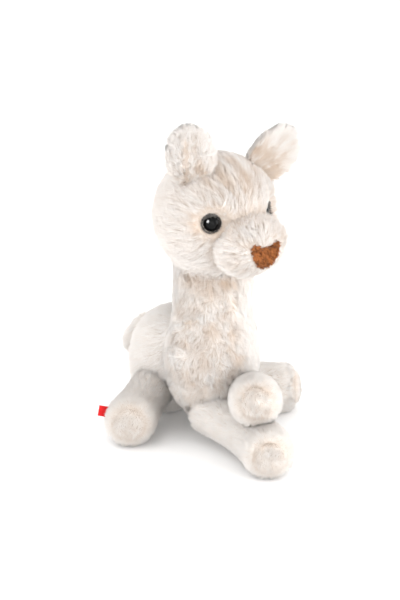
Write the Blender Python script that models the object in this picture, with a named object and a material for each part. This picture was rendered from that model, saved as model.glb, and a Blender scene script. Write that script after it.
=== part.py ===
"""Plush alpaca: a stuffed toy that sits with its neck up and one foreleg laid over the other.

The toy faces -Y, its left is +X and up is +Z. Sizes are in metres. Places are measured from the neck's axis
on the floor, and at the end everything is moved so that the origin is the footprint's middle, on the floor.
Ears, muzzle, legs and tail are modelled to the outside of their pile, as it is when the fur lies down. Body
and head, with their deep pile, are modelled to the middle of it, where a hand that holds the toy presses.
"""

import math

import bmesh
import bpy
import numpy as np
from mathutils import Matrix, Vector

# The gap that sewn pieces keep where they meet
SEAM_GAP = 0.0003

# Body: belly, back, rump and the neck column
CORE_HEIGHT = 0.066
CORE_SETBACK = 0.014
BELLY_HALF_WIDTH = 0.0388
BELLY_HALF_DEPTH = 0.0343
BELLY_HALF_HEIGHT = 0.0555
BELLY_HEIGHT = 0.0680
BACK_HALF_WIDTH = 0.0363
BACK_HALF_LENGTH = 0.0388
BACK_HALF_HEIGHT = 0.0373
BACK_SETBACK = 0.0500
BACK_HEIGHT = 0.0605
RUMP_HALF_WIDTH = 0.0330
RUMP_HALF_LENGTH = 0.0270
RUMP_HALF_HEIGHT = 0.0385
RUMP_SETBACK = 0.0605
RUMP_HEIGHT = 0.0370
NECK_RADIUS = 0.0309
NECK_TOP_HEIGHT = 0.180

# Head: the skull's ball, and the muzzle in front of it
HEAD_RADIUS = 0.0492
HEAD_HEIGHT = 0.1980
HEAD_FORWARD = 0.0055
MUZZLE_REACH = 0.0450
MUZZLE_DROP = 0.0140
MUZZLE_HALF_WIDTH = 0.0340
MUZZLE_HALF_LENGTH = 0.0225
MUZZLE_HALF_HEIGHT = 0.0265
BRIDGE_HALF_WIDTH = 0.0140
BRIDGE_HALF_LENGTH = 0.0180
BRIDGE_HALF_HEIGHT = 0.0160

# Nose: a shield of brown pile sewn on the muzzle's front
NOSE_HALF_WIDTH = 0.0150
NOSE_HALF_HEIGHT = 0.0120
NOSE_THICKNESS = 0.0016
NOSE_LIFT = -0.0045

# Eyes: domed safety eyes on a ridged shank, each locked from inside by a washer
EYE_SPREAD = 0.0262
EYE_FORWARD = 0.0278
EYE_LIFT = 0.0050
EYE_RADIUS = 0.0080
EYE_DOME_HEIGHT = 0.0052
EYE_RIM = 0.0012
SHANK_RADIUS = 0.0020
SHANK_LENGTH = 0.0140
SHANK_RIDGE = 0.0003
RIDGE_PITCH = 0.0022
WASHER_RADIUS = 0.0075
WASHER_THICKNESS = 0.0014
WASHER_DEPTH = 0.0040
SOCKET_FLARE = 0.0055

# Ears: cupped pads, leaned and turned one by one
EAR_LENGTH = 0.0590
EAR_HALF_WIDTH = 0.0200
EAR_HALF_THICKNESS = 0.0065
EAR_CUP = 0.0080
EAR_RIGHT_SPREAD = 0.0290
EAR_LEFT_SPREAD = 0.0255
EAR_FORWARD = 0.0070
EAR_BASE_LIFT = 0.0295
EAR_RIGHT_LEAN_DEG = 9.0
EAR_LEFT_LEAN_DEG = 51.0
EAR_RIGHT_NOD_DEG = 3.0
EAR_LEFT_NOD_DEG = 12.0
EAR_RIGHT_TURN_DEG = -28.0
EAR_LEFT_TURN_DEG = -5.0

# Legs: stuffed tubes that swell into a foot. Each foot's sole faces the way given by its turn from
# straight ahead, towards the toy's left, and by its tilt above the level.
LEG_RADIUS = 0.0192
FOOT_RADIUS = 0.0220
TOE_LENGTH = 0.0165
FOOT_SINK = 0.0008
ANKLE_LENGTH = 0.030
HIP_SPREAD = 0.026
HIP_SETBACK = 0.046
HIP_HEIGHT = 0.036
HIND_RIGHT_FOOT_SPREAD = 0.0740
HIND_RIGHT_FOOT_SETBACK = 0.0185
HIND_RIGHT_TURN_DEG = -43.0
HIND_RIGHT_TILT_DEG = 10.0
HIND_LEFT_FOOT_SPREAD = 0.0765
HIND_LEFT_FOOT_SETBACK = -0.0040
HIND_LEFT_TURN_DEG = 50.0
HIND_LEFT_TILT_DEG = 3.0
SHOULDER_SPREAD = 0.0170
SHOULDER_FORWARD = 0.0110
SHOULDER_HEIGHT = 0.0270
FORE_FOOT_FORWARD = 0.1050
FORE_FOOT_SIDE = -0.0230
FORE_TURN_DEG = -33.0
FORE_TILT_DEG = 3.0
CROSSED_FOOT_FORWARD = 0.0820
CROSSED_FOOT_SIDE = -0.0180
CROSSED_FOOT_HEIGHT = 0.0585
CROSSED_SHOULDER_SPREAD = 0.028
CROSSED_SHOULDER_HEIGHT = 0.0340
CROSSED_TURN_DEG = -37.0
CROSSED_TILT_DEG = 17.0

# Soles: round pads sewn into the foot ends
SOLE_RADIUS = 0.0140
SOLE_THICKNESS = 0.0045
SOLE_CROWN = 0.0030

# Tail: a drop-shaped tuft that hangs on the rump, a little to the toy's right
TAIL_HALF_WIDTH = 0.0150
TAIL_HALF_DEPTH = 0.0125
TAIL_HALF_HEIGHT = 0.0232
TAIL_SIDE = -0.0085
TAIL_SETBACK = 0.0905
TAIL_HEIGHT = 0.0660
TAIL_SLOPE_DEG = 28.0

# Label: a folded ribbon sewn into the seam of the right hind foot
LABEL_WIDTH = 0.0090
LABEL_LENGTH = 0.0120
LABEL_ROOT = 0.005
LABEL_RIBBON = 0.0006
LABEL_FOLD_GAP = 0.0006

# The block below the floor that cuts the undersides flat, wider than the toy
FLOOR_BLOCK = 0.6

# How finely the forms are faceted
BODY_RINGS, BODY_SEGMENTS = 32, 44
HEAD_RINGS, HEAD_SEGMENTS = 20, 34
MUZZLE_RINGS, MUZZLE_SEGMENTS = 14, 26
TAIL_RINGS, TAIL_SEGMENTS = 10, 16
LEG_STATIONS, TOE_RINGS, LEG_SEGMENTS = 9, 5, 22
EAR_RINGS, EAR_SEGMENTS = 16, 20
TURN_STEPS = 20

# How sharply blended forms meet: a higher power keeps more of a crease
BLEND_POWER = 9
NECK_EDGE_POWER = 7.0


# Materials


def material(name, colour, roughness, metallic=0.0):
    made = bpy.data.materials.new(name)
    made.use_nodes = True
    shader = made.node_tree.nodes["Principled BSDF"]
    shader.inputs["Base Color"].default_value = (*colour, 1.0)
    shader.inputs["Roughness"].default_value = roughness
    shader.inputs["Metallic"].default_value = metallic
    return made


def all_materials():
    return {
        "fur": material("cream_fur", (0.88, 0.80, 0.73), 0.95),
        "sole": material("sole_plush", (0.78, 0.70, 0.64), 0.95),
        "nose": material("brown_pile", (0.33, 0.13, 0.05), 0.9),
        "eye": material("eye_gloss", (0.012, 0.011, 0.012), 0.08),
        "washer": material("washer_plastic", (0.85, 0.85, 0.83), 0.45),
        "label": material("label_ribbon", (0.72, 0.03, 0.03), 0.6),
    }


# Meshes from rings of points


def mesh_from_rings(name, rings, first_pole, last_pole):
    """A closed skin over rings of points, each ring running the same way, with a pole at each end.

    Its four-sided faces are all cut along the same diagonal, so a grown copy runs parallel to it.
    """
    bm = bmesh.new()
    loops = [[bm.verts.new(point) for point in ring] for ring in rings]
    start, end = bm.verts.new(first_pole), bm.verts.new(last_pole)
    count = len(loops[0])
    for k in range(count):
        bm.faces.new((start, loops[0][(k + 1) % count], loops[0][k]))
        bm.faces.new((end, loops[-1][k], loops[-1][(k + 1) % count]))
    for near, far in zip(loops, loops[1:]):
        for k in range(count):
            bm.faces.new((near[k], near[(k + 1) % count], far[(k + 1) % count]))
            bm.faces.new((near[k], far[(k + 1) % count], far[k]))
    bmesh.ops.recalc_face_normals(bm, faces=bm.faces)
    mesh = bpy.data.meshes.new(name)
    bm.to_mesh(mesh)
    bm.free()
    return mesh


def turned_mesh(name, profile):
    """Turns an outline of (radius, height) points about Z. Its first and last points lie on the axis."""
    angles = [2 * math.pi * k / TURN_STEPS for k in range(TURN_STEPS)]
    rings = [[Vector((r * math.cos(a), r * math.sin(a), h)) for a in angles] for r, h in profile[1:-1]]
    return mesh_from_rings(name, rings, Vector((0, 0, profile[0][1])), Vector((0, 0, profile[-1][1])))


def washer_mesh(name, inner, outer, thickness):
    """A flat ring about Z, its underside at height 0, made by spinning its rectangular section."""
    bm = bmesh.new()
    corners = [(inner, 0), (outer, 0), (outer, thickness), (inner, thickness)]
    verts = [bm.verts.new((r, 0, h)) for r, h in corners]
    edges = [bm.edges.new((verts[k], verts[(k + 1) % len(verts)])) for k in range(len(verts))]
    full = 2 * math.pi
    bmesh.ops.spin(bm, geom=verts + edges, cent=(0, 0, 0), axis=(0, 0, 1), angle=full, steps=TURN_STEPS)
    bmesh.ops.remove_doubles(bm, verts=bm.verts, dist=1e-6)
    bmesh.ops.recalc_face_normals(bm, faces=bm.faces)
    mesh = bpy.data.meshes.new(name)
    bm.to_mesh(mesh)
    bm.free()
    return mesh


# Forms that bulge round a core: each direction from the core reaches the blend of the blobs' far sides


def ball_reach(directions, core, centre, radii):
    """The distance from the core to an ellipsoid's far side, or 0 where a direction misses it."""
    radii = np.array(radii)
    offset = (np.array(core) - np.array(centre)) / radii
    scaled = directions / radii
    a = (scaled**2).sum(axis=1)
    b = scaled @ offset
    c = offset @ offset - 1
    inside = b**2 - a * c
    far = (-b + np.sqrt(np.maximum(inside, 0))) / a
    return np.where(inside > 0, np.maximum(far, 0), 0.0)


def column_reach(directions, setback, radius, top, bottom):
    """The distance to an upright column that ends softly at heights above and below a core behind its axis."""
    across, along = directions[:, 0], directions[:, 1]
    a = np.maximum(across**2 + along**2, 1e-9)
    b = along * setback
    side = (-b + np.sqrt(b**2 + a * (radius**2 - setback**2))) / a
    end = np.where(directions[:, 2] > 0, top, bottom) / np.maximum(np.abs(directions[:, 2]), 1e-9)
    return (side**-NECK_EDGE_POWER + end**-NECK_EDGE_POWER) ** (-1 / NECK_EDGE_POWER)


def blended(reaches):
    """A soft maximum of several reaches, which rounds the valley where two forms meet."""
    return (np.array(reaches) ** BLEND_POWER).sum(axis=0) ** (1 / BLEND_POWER)


def even_angles(reach, count):
    """Polar angles that lie evenly along the form's front outline, from the top pole to the bottom one."""
    fine = np.linspace(0, math.pi, 400)
    outline = np.stack([0 * fine, -np.sin(fine), np.cos(fine)], axis=1)
    outline = outline * reach(outline)[:, None]
    steps = np.linalg.norm(np.diff(outline, axis=0), axis=1)
    travelled = np.concatenate([[0], np.cumsum(steps)])
    return np.interp(np.linspace(0, travelled[-1], count + 2)[1:-1], travelled, fine)


def bulging_mesh(name, core, reach, ring_count, segments, grow=0.0):
    """A closed skin round the core, stood off outwards by grow."""
    polar = even_angles(reach, ring_count)
    around = 2 * math.pi * np.arange(segments) / segments
    polar, around = (grid.ravel() for grid in np.meshgrid(polar, around, indexing="ij"))
    level = np.sin(polar)
    rays = np.stack([level * np.cos(around), level * np.sin(around), np.cos(polar)], axis=1)
    rays = np.vstack([rays, [[0, 0, 1], [0, 0, -1]]])
    points = np.array(core) + rays * reach(rays)[:, None]
    rings = points[:-2].reshape(ring_count, segments, 3)
    mesh = mesh_from_rings(name, rings, points[-2], points[-1])
    normals = [vertex.normal.copy() for vertex in mesh.vertices]
    for vertex, normal in zip(mesh.vertices, normals):
        vertex.co += normal * grow
    return mesh


def body_mesh(name, grow=0.0):
    """Belly, back, rump and neck column in one skin."""
    core = (0.0, CORE_SETBACK, CORE_HEIGHT)
    neck_ends = NECK_TOP_HEIGHT - CORE_HEIGHT, BELLY_HALF_HEIGHT / 2
    belly = (BELLY_HALF_WIDTH, BELLY_HALF_DEPTH, BELLY_HALF_HEIGHT)
    back = (BACK_HALF_WIDTH, BACK_HALF_LENGTH, BACK_HALF_HEIGHT)
    rump = (RUMP_HALF_WIDTH, RUMP_HALF_LENGTH, RUMP_HALF_HEIGHT)

    def reach(rays):
        return blended(
            [
                ball_reach(rays, core, (0, 0, BELLY_HEIGHT), belly),
                ball_reach(rays, core, (0, BACK_SETBACK, BACK_HEIGHT), back),
                ball_reach(rays, core, (0, RUMP_SETBACK, RUMP_HEIGHT), rump),
                column_reach(rays, CORE_SETBACK, NECK_RADIUS, *neck_ends),
            ]
        )

    return bulging_mesh(name, core, reach, BODY_RINGS, BODY_SEGMENTS, grow)


HEAD_CENTRE = (0.0, -HEAD_FORWARD, HEAD_HEIGHT)
MUZZLE_CENTRE = (0.0, -HEAD_FORWARD - MUZZLE_REACH, HEAD_HEIGHT - MUZZLE_DROP)


def head_mesh(name, grow=0.0):
    """The skull's ball."""

    def reach(rays):
        return ball_reach(rays, HEAD_CENTRE, HEAD_CENTRE, (HEAD_RADIUS, HEAD_RADIUS, HEAD_RADIUS))

    return bulging_mesh(name, HEAD_CENTRE, reach, HEAD_RINGS, HEAD_SEGMENTS, grow)


def muzzle_mesh(name, grow=0.0):
    """The muzzle's wide ball, with the bridge that runs up it between the eyes."""
    x, y, z = MUZZLE_CENTRE
    main = (MUZZLE_HALF_WIDTH, MUZZLE_HALF_LENGTH, MUZZLE_HALF_HEIGHT)
    bridge = (BRIDGE_HALF_WIDTH, BRIDGE_HALF_LENGTH, BRIDGE_HALF_HEIGHT)
    bridge_centre = (x, y + BRIDGE_HALF_LENGTH * 0.5, z + MUZZLE_HALF_HEIGHT * 0.55)

    def reach(rays):
        ball = ball_reach(rays, MUZZLE_CENTRE, MUZZLE_CENTRE, main)
        return blended([ball, ball_reach(rays, MUZZLE_CENTRE, bridge_centre, bridge)])

    return bulging_mesh(name, MUZZLE_CENTRE, reach, MUZZLE_RINGS, MUZZLE_SEGMENTS, grow)


def tail_mesh(name):
    """An upright drop about its own centre, fuller below than above."""
    centre = (0.0, 0.0, 0.0)
    tuft = (TAIL_HALF_WIDTH, TAIL_HALF_DEPTH, TAIL_HALF_HEIGHT * 0.62)

    def reach(rays):
        slim = (TAIL_HALF_WIDTH * 0.8, TAIL_HALF_DEPTH * 0.8, TAIL_HALF_HEIGHT)
        whole = ball_reach(rays, centre, centre, slim)
        return blended([whole, ball_reach(rays, centre, (0, 0, -TAIL_HALF_HEIGHT * 0.38), tuft)])

    return bulging_mesh(name, centre, reach, TAIL_RINGS, TAIL_SEGMENTS)


def tail_seat():
    slope = Matrix.Rotation(math.radians(TAIL_SLOPE_DEG), 4, "X")
    return Matrix.Translation((TAIL_SIDE, TAIL_SETBACK, TAIL_HEIGHT)) @ slope


# Legs


def facing(turn_deg, tilt_deg):
    """The direction turned from straight ahead towards the toy's left, and tilted up."""
    turn, tilt = math.radians(turn_deg), math.radians(tilt_deg)
    return Vector((math.sin(turn) * math.cos(tilt), -math.cos(turn) * math.cos(tilt), math.sin(tilt)))


def leg_route(root, foot, face):
    """Even steps from the root to the foot's centre, bending at last to run the way the sole faces."""
    ankle = foot - face * ANKLE_LENGTH
    fine = [root.lerp(ankle, t).lerp(ankle.lerp(foot, t), t) for t in np.linspace(0, 1, 120)]
    travelled = np.cumsum([0] + [(b - a).length for a, b in zip(fine, fine[1:])])
    wanted = np.linspace(0, travelled[-1], LEG_STATIONS)
    return [Vector([np.interp(d, travelled, [p[k] for p in fine]) for k in range(3)]) for d in wanted]


def leg_radius(share):
    """The tube's radius along the leg: even down the shin, then swelling into the foot."""
    swell = min(max((share - 0.35) / 0.6, 0.0), 1.0)
    return LEG_RADIUS + (FOOT_RADIUS - LEG_RADIUS) * swell * swell * (3 - 2 * swell)


def ring_about(centre, along, radius):
    """A ring of points about a centre, square to the direction along."""
    side = along.cross(Vector((0, 0, 1))).normalized()
    rise = side.cross(along).normalized()
    angles = [2 * math.pi * k / LEG_SEGMENTS for k in range(LEG_SEGMENTS)]
    return [centre + radius * (math.cos(a) * side + math.sin(a) * rise) for a in angles]


def leg_mesh(name, root, foot, face, grow=0.0):
    """A round tube along the route, closed by a low dome at the root and by a round toe."""
    route = leg_route(root, foot, face)
    from_root = (route[1] - route[0]).normalized()
    root_dome = LEG_RADIUS * 0.5
    rings = []
    for a in (1.1, 0.5):
        centre = route[0] - from_root * root_dome * math.sin(a)
        rings.append(ring_about(centre, from_root, (leg_radius(0) + grow) * math.cos(a)))
    for k, centre in enumerate(route):
        before, after = route[max(k - 1, 0)], route[min(k + 1, len(route) - 1)]
        radius = leg_radius(k / (LEG_STATIONS - 1)) + grow
        rings.append(ring_about(centre, (after - before).normalized(), radius))
    for k in range(1, TOE_RINGS):
        a = math.pi / 2 * k / TOE_RINGS
        centre = foot + face * (TOE_LENGTH + grow) * math.sin(a)
        rings.append(ring_about(centre, face, (FOOT_RADIUS + grow) * math.cos(a)))
    start, end = route[0] - from_root * root_dome, foot + face * (TOE_LENGTH + grow)
    return mesh_from_rings(name, rings, start, end)


def leg_places():
    """Each leg's root, foot centre and sole direction. A foot on the floor is sunk to rest on a flat."""
    rest = FOOT_RADIUS - FOOT_SINK
    return {
        "hindleg_right": (
            Vector((-HIP_SPREAD, HIP_SETBACK, HIP_HEIGHT)),
            Vector((-HIND_RIGHT_FOOT_SPREAD, HIND_RIGHT_FOOT_SETBACK, rest)),
            facing(HIND_RIGHT_TURN_DEG, HIND_RIGHT_TILT_DEG),
        ),
        "hindleg_left": (
            Vector((HIP_SPREAD, HIP_SETBACK, HIP_HEIGHT)),
            Vector((HIND_LEFT_FOOT_SPREAD, HIND_LEFT_FOOT_SETBACK, rest)),
            facing(HIND_LEFT_TURN_DEG, HIND_LEFT_TILT_DEG),
        ),
        "foreleg_right": (
            Vector((-SHOULDER_SPREAD, -SHOULDER_FORWARD, SHOULDER_HEIGHT)),
            Vector((FORE_FOOT_SIDE, -FORE_FOOT_FORWARD, rest)),
            facing(FORE_TURN_DEG, FORE_TILT_DEG),
        ),
        "foreleg_left": (
            Vector((CROSSED_SHOULDER_SPREAD, -SHOULDER_FORWARD, CROSSED_SHOULDER_HEIGHT)),
            Vector((CROSSED_FOOT_SIDE, -CROSSED_FOOT_FORWARD, CROSSED_FOOT_HEIGHT)),
            facing(CROSSED_TURN_DEG, CROSSED_TILT_DEG),
        ),
    }


def sole_seat(foot, face):
    """The frame of a sole: Z points out of the foot, and the origin is the middle of the pad's back."""
    rim_depth = TOE_LENGTH * math.sqrt(1 - (SOLE_RADIUS / FOOT_RADIUS) ** 2)
    back = foot + face * (rim_depth - SOLE_THICKNESS)
    return Matrix.Translation(back) @ face.to_track_quat("Z", "Y").to_matrix().to_4x4()


def sole_mesh(name, grow=0.0, reach=0.0):
    """A round pad with a crowned face. grow and reach make the larger cutter that opens its seat."""
    radius, top = SOLE_RADIUS + grow, SOLE_THICKNESS + reach
    crown = [(radius * math.cos(a), top + SOLE_CROWN * math.sin(a)) for a in (0.0, 0.45, 0.9)]
    return turned_mesh(name, [(0, -grow), (radius, -grow), *crown, (0, top + SOLE_CROWN)])


# Ears


def ear_mesh(name):
    """An oval pad along Z, hollow towards -Y. Its edges come forward, most of all at the base."""
    rings = []
    for k in range(EAR_RINGS):
        share = (k + 0.5) / EAR_RINGS
        width = EAR_HALF_WIDTH * math.sin(math.pi * share) ** (0.40 if share < 0.5 else 0.56)
        thickness = EAR_HALF_THICKNESS * math.sin(math.pi * share) ** 0.5
        cup = EAR_CUP * (1.15 - 0.75 * share)
        ring = []
        for step in range(EAR_SEGMENTS):
            a = 2 * math.pi * step / EAR_SEGMENTS
            across = math.cos(a)
            forward = cup * across**2 * width / EAR_HALF_WIDTH
            ring.append(Vector((width * across, thickness * math.sin(a) - forward, EAR_LENGTH * share)))
        rings.append(ring)
    return mesh_from_rings(name, rings, Vector((0, 0, 0)), Vector((0, 0, EAR_LENGTH)))


def ear_seat(side):
    """Where an ear stands: side is -1 for the right ear and 1 for the left one."""
    spread, lean, nod, turn = (
        (EAR_RIGHT_SPREAD, EAR_RIGHT_LEAN_DEG, EAR_RIGHT_NOD_DEG, EAR_RIGHT_TURN_DEG)
        if side < 0
        else (EAR_LEFT_SPREAD, EAR_LEFT_LEAN_DEG, EAR_LEFT_NOD_DEG, EAR_LEFT_TURN_DEG)
    )
    base = Vector((side * spread, HEAD_CENTRE[1] - EAR_FORWARD, HEAD_HEIGHT + EAR_BASE_LIFT))
    leaned = Matrix.Translation(base) @ Matrix.Rotation(side * math.radians(lean), 4, "Y")
    nodded = leaned @ Matrix.Rotation(math.radians(nod), 4, "X")
    return nodded @ Matrix.Rotation(math.radians(turn), 4, "Z")


# Eyes


def eye_seat(side):
    """The frame of an eye: Z points out of the head, and the origin is the middle of the flange's back."""
    at = Vector((side * EYE_SPREAD, -EYE_FORWARD, EYE_LIFT))
    return Matrix.Translation(Vector(HEAD_CENTRE) + at) @ at.to_track_quat("Z", "Y").to_matrix().to_4x4()


def eye_mesh(name):
    """A domed cap with a thin rim, on a shank with ridges that hold the washer."""
    outline = [(0, -SHANK_LENGTH), (SHANK_RADIUS * 0.6, -SHANK_LENGTH)]
    ridge = -SHANK_LENGTH + RIDGE_PITCH / 2
    while ridge < -WASHER_DEPTH - WASHER_THICKNESS - RIDGE_PITCH / 2:
        outline += [(SHANK_RADIUS, ridge), (SHANK_RADIUS + SHANK_RIDGE, ridge + RIDGE_PITCH / 2)]
        ridge += RIDGE_PITCH
    outline += [(SHANK_RADIUS, ridge), (SHANK_RADIUS, 0), (EYE_RADIUS, 0), (EYE_RADIUS, EYE_RIM)]
    for a in (0.25, 0.5, 0.75, 1.0, 1.25):
        outline.append((EYE_RADIUS * math.cos(a), EYE_RIM + EYE_DOME_HEIGHT * math.sin(a)))
    outline.append((0, EYE_RIM + EYE_DOME_HEIGHT))
    return turned_mesh(name, outline)


def eye_room_mesh(name):
    """What the head leaves free for an eye: a flared socket, the shank's bore and the washer's chamber."""
    flat = EYE_RADIUS + SEAM_GAP
    bore = SHANK_RADIUS + SHANK_RIDGE + SEAM_GAP
    chamber = WASHER_RADIUS + SEAM_GAP
    chamber_top = -WASHER_DEPTH + SEAM_GAP
    chamber_end = -WASHER_DEPTH - WASHER_THICKNESS - SEAM_GAP
    mouth = HEAD_RADIUS
    bore_end = -SHANK_LENGTH - SEAM_GAP
    outline = [(0, bore_end), (bore, bore_end), (bore, chamber_end), (chamber, chamber_end)]
    outline += [(chamber, chamber_top), (bore, chamber_top)]
    outline += [(bore, -SEAM_GAP), (flat, -SEAM_GAP), (flat, EYE_RIM)]
    outline += [(flat + SOCKET_FLARE * mouth / EYE_RADIUS / 2, mouth), (0, mouth)]
    return turned_mesh(name, outline)


# Nose


def nose_outline():
    """The shield's edge as (across, up): two horns with a dip between them, and a round foot."""
    right = [(0.0, 0.62), (0.34, 0.66), (0.62, 0.82), (0.84, 1.0), (0.98, 0.84), (1.0, 0.30)]
    right += [(0.86, -0.22), (0.60, -0.66), (0.32, -0.93)]
    left = [(-x, y) for x, y in reversed(right[1:])]
    edge = [*right, (0.0, -1.0), *left]
    return [(x * NOSE_HALF_WIDTH, y * NOSE_HALF_HEIGHT) for x, y in edge]


def nose_mesh(name):
    """The shield drawn out along Y, long enough to pass through the muzzle's front."""
    x, y, z = MUZZLE_CENTRE
    near = [Vector((x + a, y - MUZZLE_HALF_LENGTH - 0.01, z + NOSE_LIFT + up)) for a, up in nose_outline()]
    far = [Vector((p.x, y - MUZZLE_HALF_LENGTH * 0.1, p.z)) for p in near]
    first, last = (Vector((x, end[0].y, z + NOSE_LIFT)) for end in (near, far))
    return mesh_from_rings(name, [near, far], first, last)


# Floor: the block that cuts the undersides flat


def floor_mesh(name):
    bm = bmesh.new()
    bmesh.ops.create_cube(bm, size=FLOOR_BLOCK)
    bmesh.ops.translate(bm, vec=(0, 0, -FLOOR_BLOCK / 2), verts=bm.verts)
    mesh = bpy.data.meshes.new(name)
    bm.to_mesh(mesh)
    bm.free()
    return mesh


# Label


def label_mesh(name):
    """A ribbon folded back on itself: two flat runs joined by a round fold, open at the root."""
    half = LABEL_FOLD_GAP / 2
    outer = half + LABEL_RIBBON
    turn = [math.pi / 2 - math.pi * k / 6 for k in range(7)]
    end = LABEL_LENGTH - outer
    fold_out = [(end + outer * math.cos(a), outer * math.sin(a)) for a in turn]
    fold_in = [(end + half * math.cos(a), half * math.sin(a)) for a in reversed(turn)]
    outside = [(-LABEL_ROOT, outer), *fold_out, (-LABEL_ROOT, -outer)]
    inside = [(-LABEL_ROOT, -half), *fold_in, (-LABEL_ROOT, half)]
    bm = bmesh.new()
    face = bm.faces.new([bm.verts.new((x, y, -LABEL_WIDTH / 2)) for x, y in outside + inside])
    drawn = bmesh.ops.extrude_face_region(bm, geom=[face])
    far = [v for v in drawn["geom"] if isinstance(v, bmesh.types.BMVert)]
    bmesh.ops.translate(bm, vec=(0, 0, LABEL_WIDTH), verts=far)
    bmesh.ops.recalc_face_normals(bm, faces=bm.faces)
    mesh = bpy.data.meshes.new(name)
    bm.to_mesh(mesh)
    bm.free()
    return mesh


def label_seat():
    """The label stands out of the right hind foot's outer seam, its face turned forwards and up."""
    root, foot, _ = leg_places()["hindleg_right"]
    out = Vector((-0.80, 0.55, 0.20)).normalized()
    face = Vector((-0.45, -0.80, 0.35))
    face = (face - face.dot(out) * out).normalized()
    up = out.cross(face)
    turn = Matrix((out, face, up)).transposed().to_4x4()
    return Matrix.Translation(foot.lerp(root, 0.12) + out * FOOT_RADIUS * 0.84) @ turn


# Assembly


def clear_scene():
    for old in list(bpy.data.objects):
        bpy.data.objects.remove(old)


def place(mesh, origin, paint=None, matrix=None):
    """Adds one object under the origin empty. What has no paint is a cutter, and isn't shown."""
    made = bpy.data.objects.new(mesh.name, mesh)
    bpy.context.scene.collection.objects.link(made)
    made.parent = origin
    if matrix is not None:
        made.matrix_local = matrix
    if paint is None:
        made.hide_render = True
        made.display_type = "WIRE"
    else:
        made.data.materials.append(paint)
        made.data.shade_smooth()
        made.data.set_sharp_from_angle(angle=math.radians(50))
    return made


def carve(target, cutter, operation="DIFFERENCE"):
    """Lets one piece make room for another with a live Boolean."""
    step = target.modifiers.new(f"{operation.lower()}_{cutter.name}", "BOOLEAN")
    step.operation = operation
    step.object = cutter


def build_body_and_head(origin, paints):
    body = place(body_mesh("body"), origin, paints["fur"])
    head = place(head_mesh("head"), origin, paints["fur"])
    muzzle = place(muzzle_mesh("muzzle"), origin, paints["fur"])
    head_room = place(head_mesh("head_room", SEAM_GAP), origin)
    muzzle_room = place(muzzle_mesh("muzzle_room", SEAM_GAP), origin)
    body_room = place(body_mesh("body_room", SEAM_GAP), origin)
    floor = place(floor_mesh("floor_block"), origin)
    carve(body, floor)
    carve(body, head_room)
    carve(body, muzzle_room)
    carve(muzzle, head_room)
    return {"head": head, "muzzle": muzzle, "head_room": head_room, "body_room": body_room, "floor": floor}


def build_nose(origin, paints):
    nose = place(nose_mesh("nose"), origin, paints["nose"])
    face = place(muzzle_mesh("nose_face", NOSE_THICKNESS), origin)
    back = place(muzzle_mesh("nose_back", SEAM_GAP), origin)
    carve(nose, face, "INTERSECT")
    carve(nose, back)


def build_eyes(origin, paints, head, muzzle):
    for side, word in ((-1, "right"), (1, "left")):
        seat = eye_seat(side)
        room = place(eye_room_mesh(f"eye_room_{word}"), origin, matrix=seat)
        carve(head, room)
        carve(muzzle, room)
        place(eye_mesh(f"eye_{word}"), origin, paints["eye"], seat)
        hole = SHANK_RADIUS + SHANK_RIDGE + SEAM_GAP
        washer = washer_mesh(f"eye_washer_{word}", hole, WASHER_RADIUS, WASHER_THICKNESS)
        behind = seat @ Matrix.Translation((0, 0, -WASHER_DEPTH - WASHER_THICKNESS))
        place(washer, origin, paints["washer"], behind)


def build_ears(origin, paints, head_room):
    for side, word in ((-1, "right"), (1, "left")):
        ear = place(ear_mesh(f"ear_{word}"), origin, paints["fur"], ear_seat(side))
        carve(ear, head_room)


def build_legs(origin, paints, body_room, floor):
    legs = {}
    for name, (root, foot, face) in leg_places().items():
        legs[name] = place(leg_mesh(name, root, foot, face), origin, paints["fur"])
        carve(legs[name], body_room)
        if foot.z < FOOT_RADIUS:
            carve(legs[name], floor)
        seat = sole_seat(foot, face)
        room = place(sole_mesh(f"{name}_sole_room", SEAM_GAP, TOE_LENGTH), origin, matrix=seat)
        carve(legs[name], room)
        place(sole_mesh(f"sole_{name}"), origin, paints["sole"], seat)
    under = place(leg_mesh("foreleg_right_room", *leg_places()["foreleg_right"], grow=SEAM_GAP), origin)
    carve(legs["foreleg_left"], under)


def build_tail(origin, paints, body_room):
    tail = place(tail_mesh("tail"), origin, paints["fur"], tail_seat())
    carve(tail, body_room)


def build_label(origin, paints):
    label = place(label_mesh("label"), origin, paints["label"], label_seat())
    foot = place(leg_mesh("label_foot_room", *leg_places()["hindleg_right"], grow=SEAM_GAP), origin)
    carve(label, foot)


def centre_on_floor(origin):
    """Moves everything so that the origin is the middle of the footprint at floor level."""
    bpy.context.view_layer.update()
    graph = bpy.context.evaluated_depsgraph_get()
    corners = []
    for piece in origin.children:
        if not piece.hide_render:
            shown = piece.evaluated_get(graph)
            corners += [shown.matrix_world @ v.co for v in shown.to_mesh().vertices]
            shown.to_mesh_clear()
    low = Vector([min(c[k] for c in corners) for k in range(3)])
    high = Vector([max(c[k] for c in corners) for k in range(3)])
    origin.location = (-(low.x + high.x) / 2, -(low.y + high.y) / 2, -low.z)


def main():
    clear_scene()
    origin = bpy.data.objects.new("neck_axis", None)
    bpy.context.scene.collection.objects.link(origin)
    paints = all_materials()
    forms = build_body_and_head(origin, paints)
    build_nose(origin, paints)
    build_eyes(origin, paints, forms["head"], forms["muzzle"])
    build_ears(origin, paints, forms["head_room"])
    build_legs(origin, paints, forms["body_room"], forms["floor"])
    build_tail(origin, paints, forms["body_room"])
    build_label(origin, paints)
    centre_on_floor(origin)


main()
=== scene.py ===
# %% [markdown]
# # A plush alpaca in its fur
# The toy is sewn from long-pile plush and stuffed. Its pieces come as plain solids. Those of the body and the
# head reach to the middle of their deep pile, and the others to the outside of theirs. Here each soft piece
# gets the two things that the solid only stands for: the sewn skin, which lies further in, and the fur that
# grows out of it. The eyes, their washers and the label keep their solids and get a finish.

# %% The solids, and the tools
import math

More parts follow.
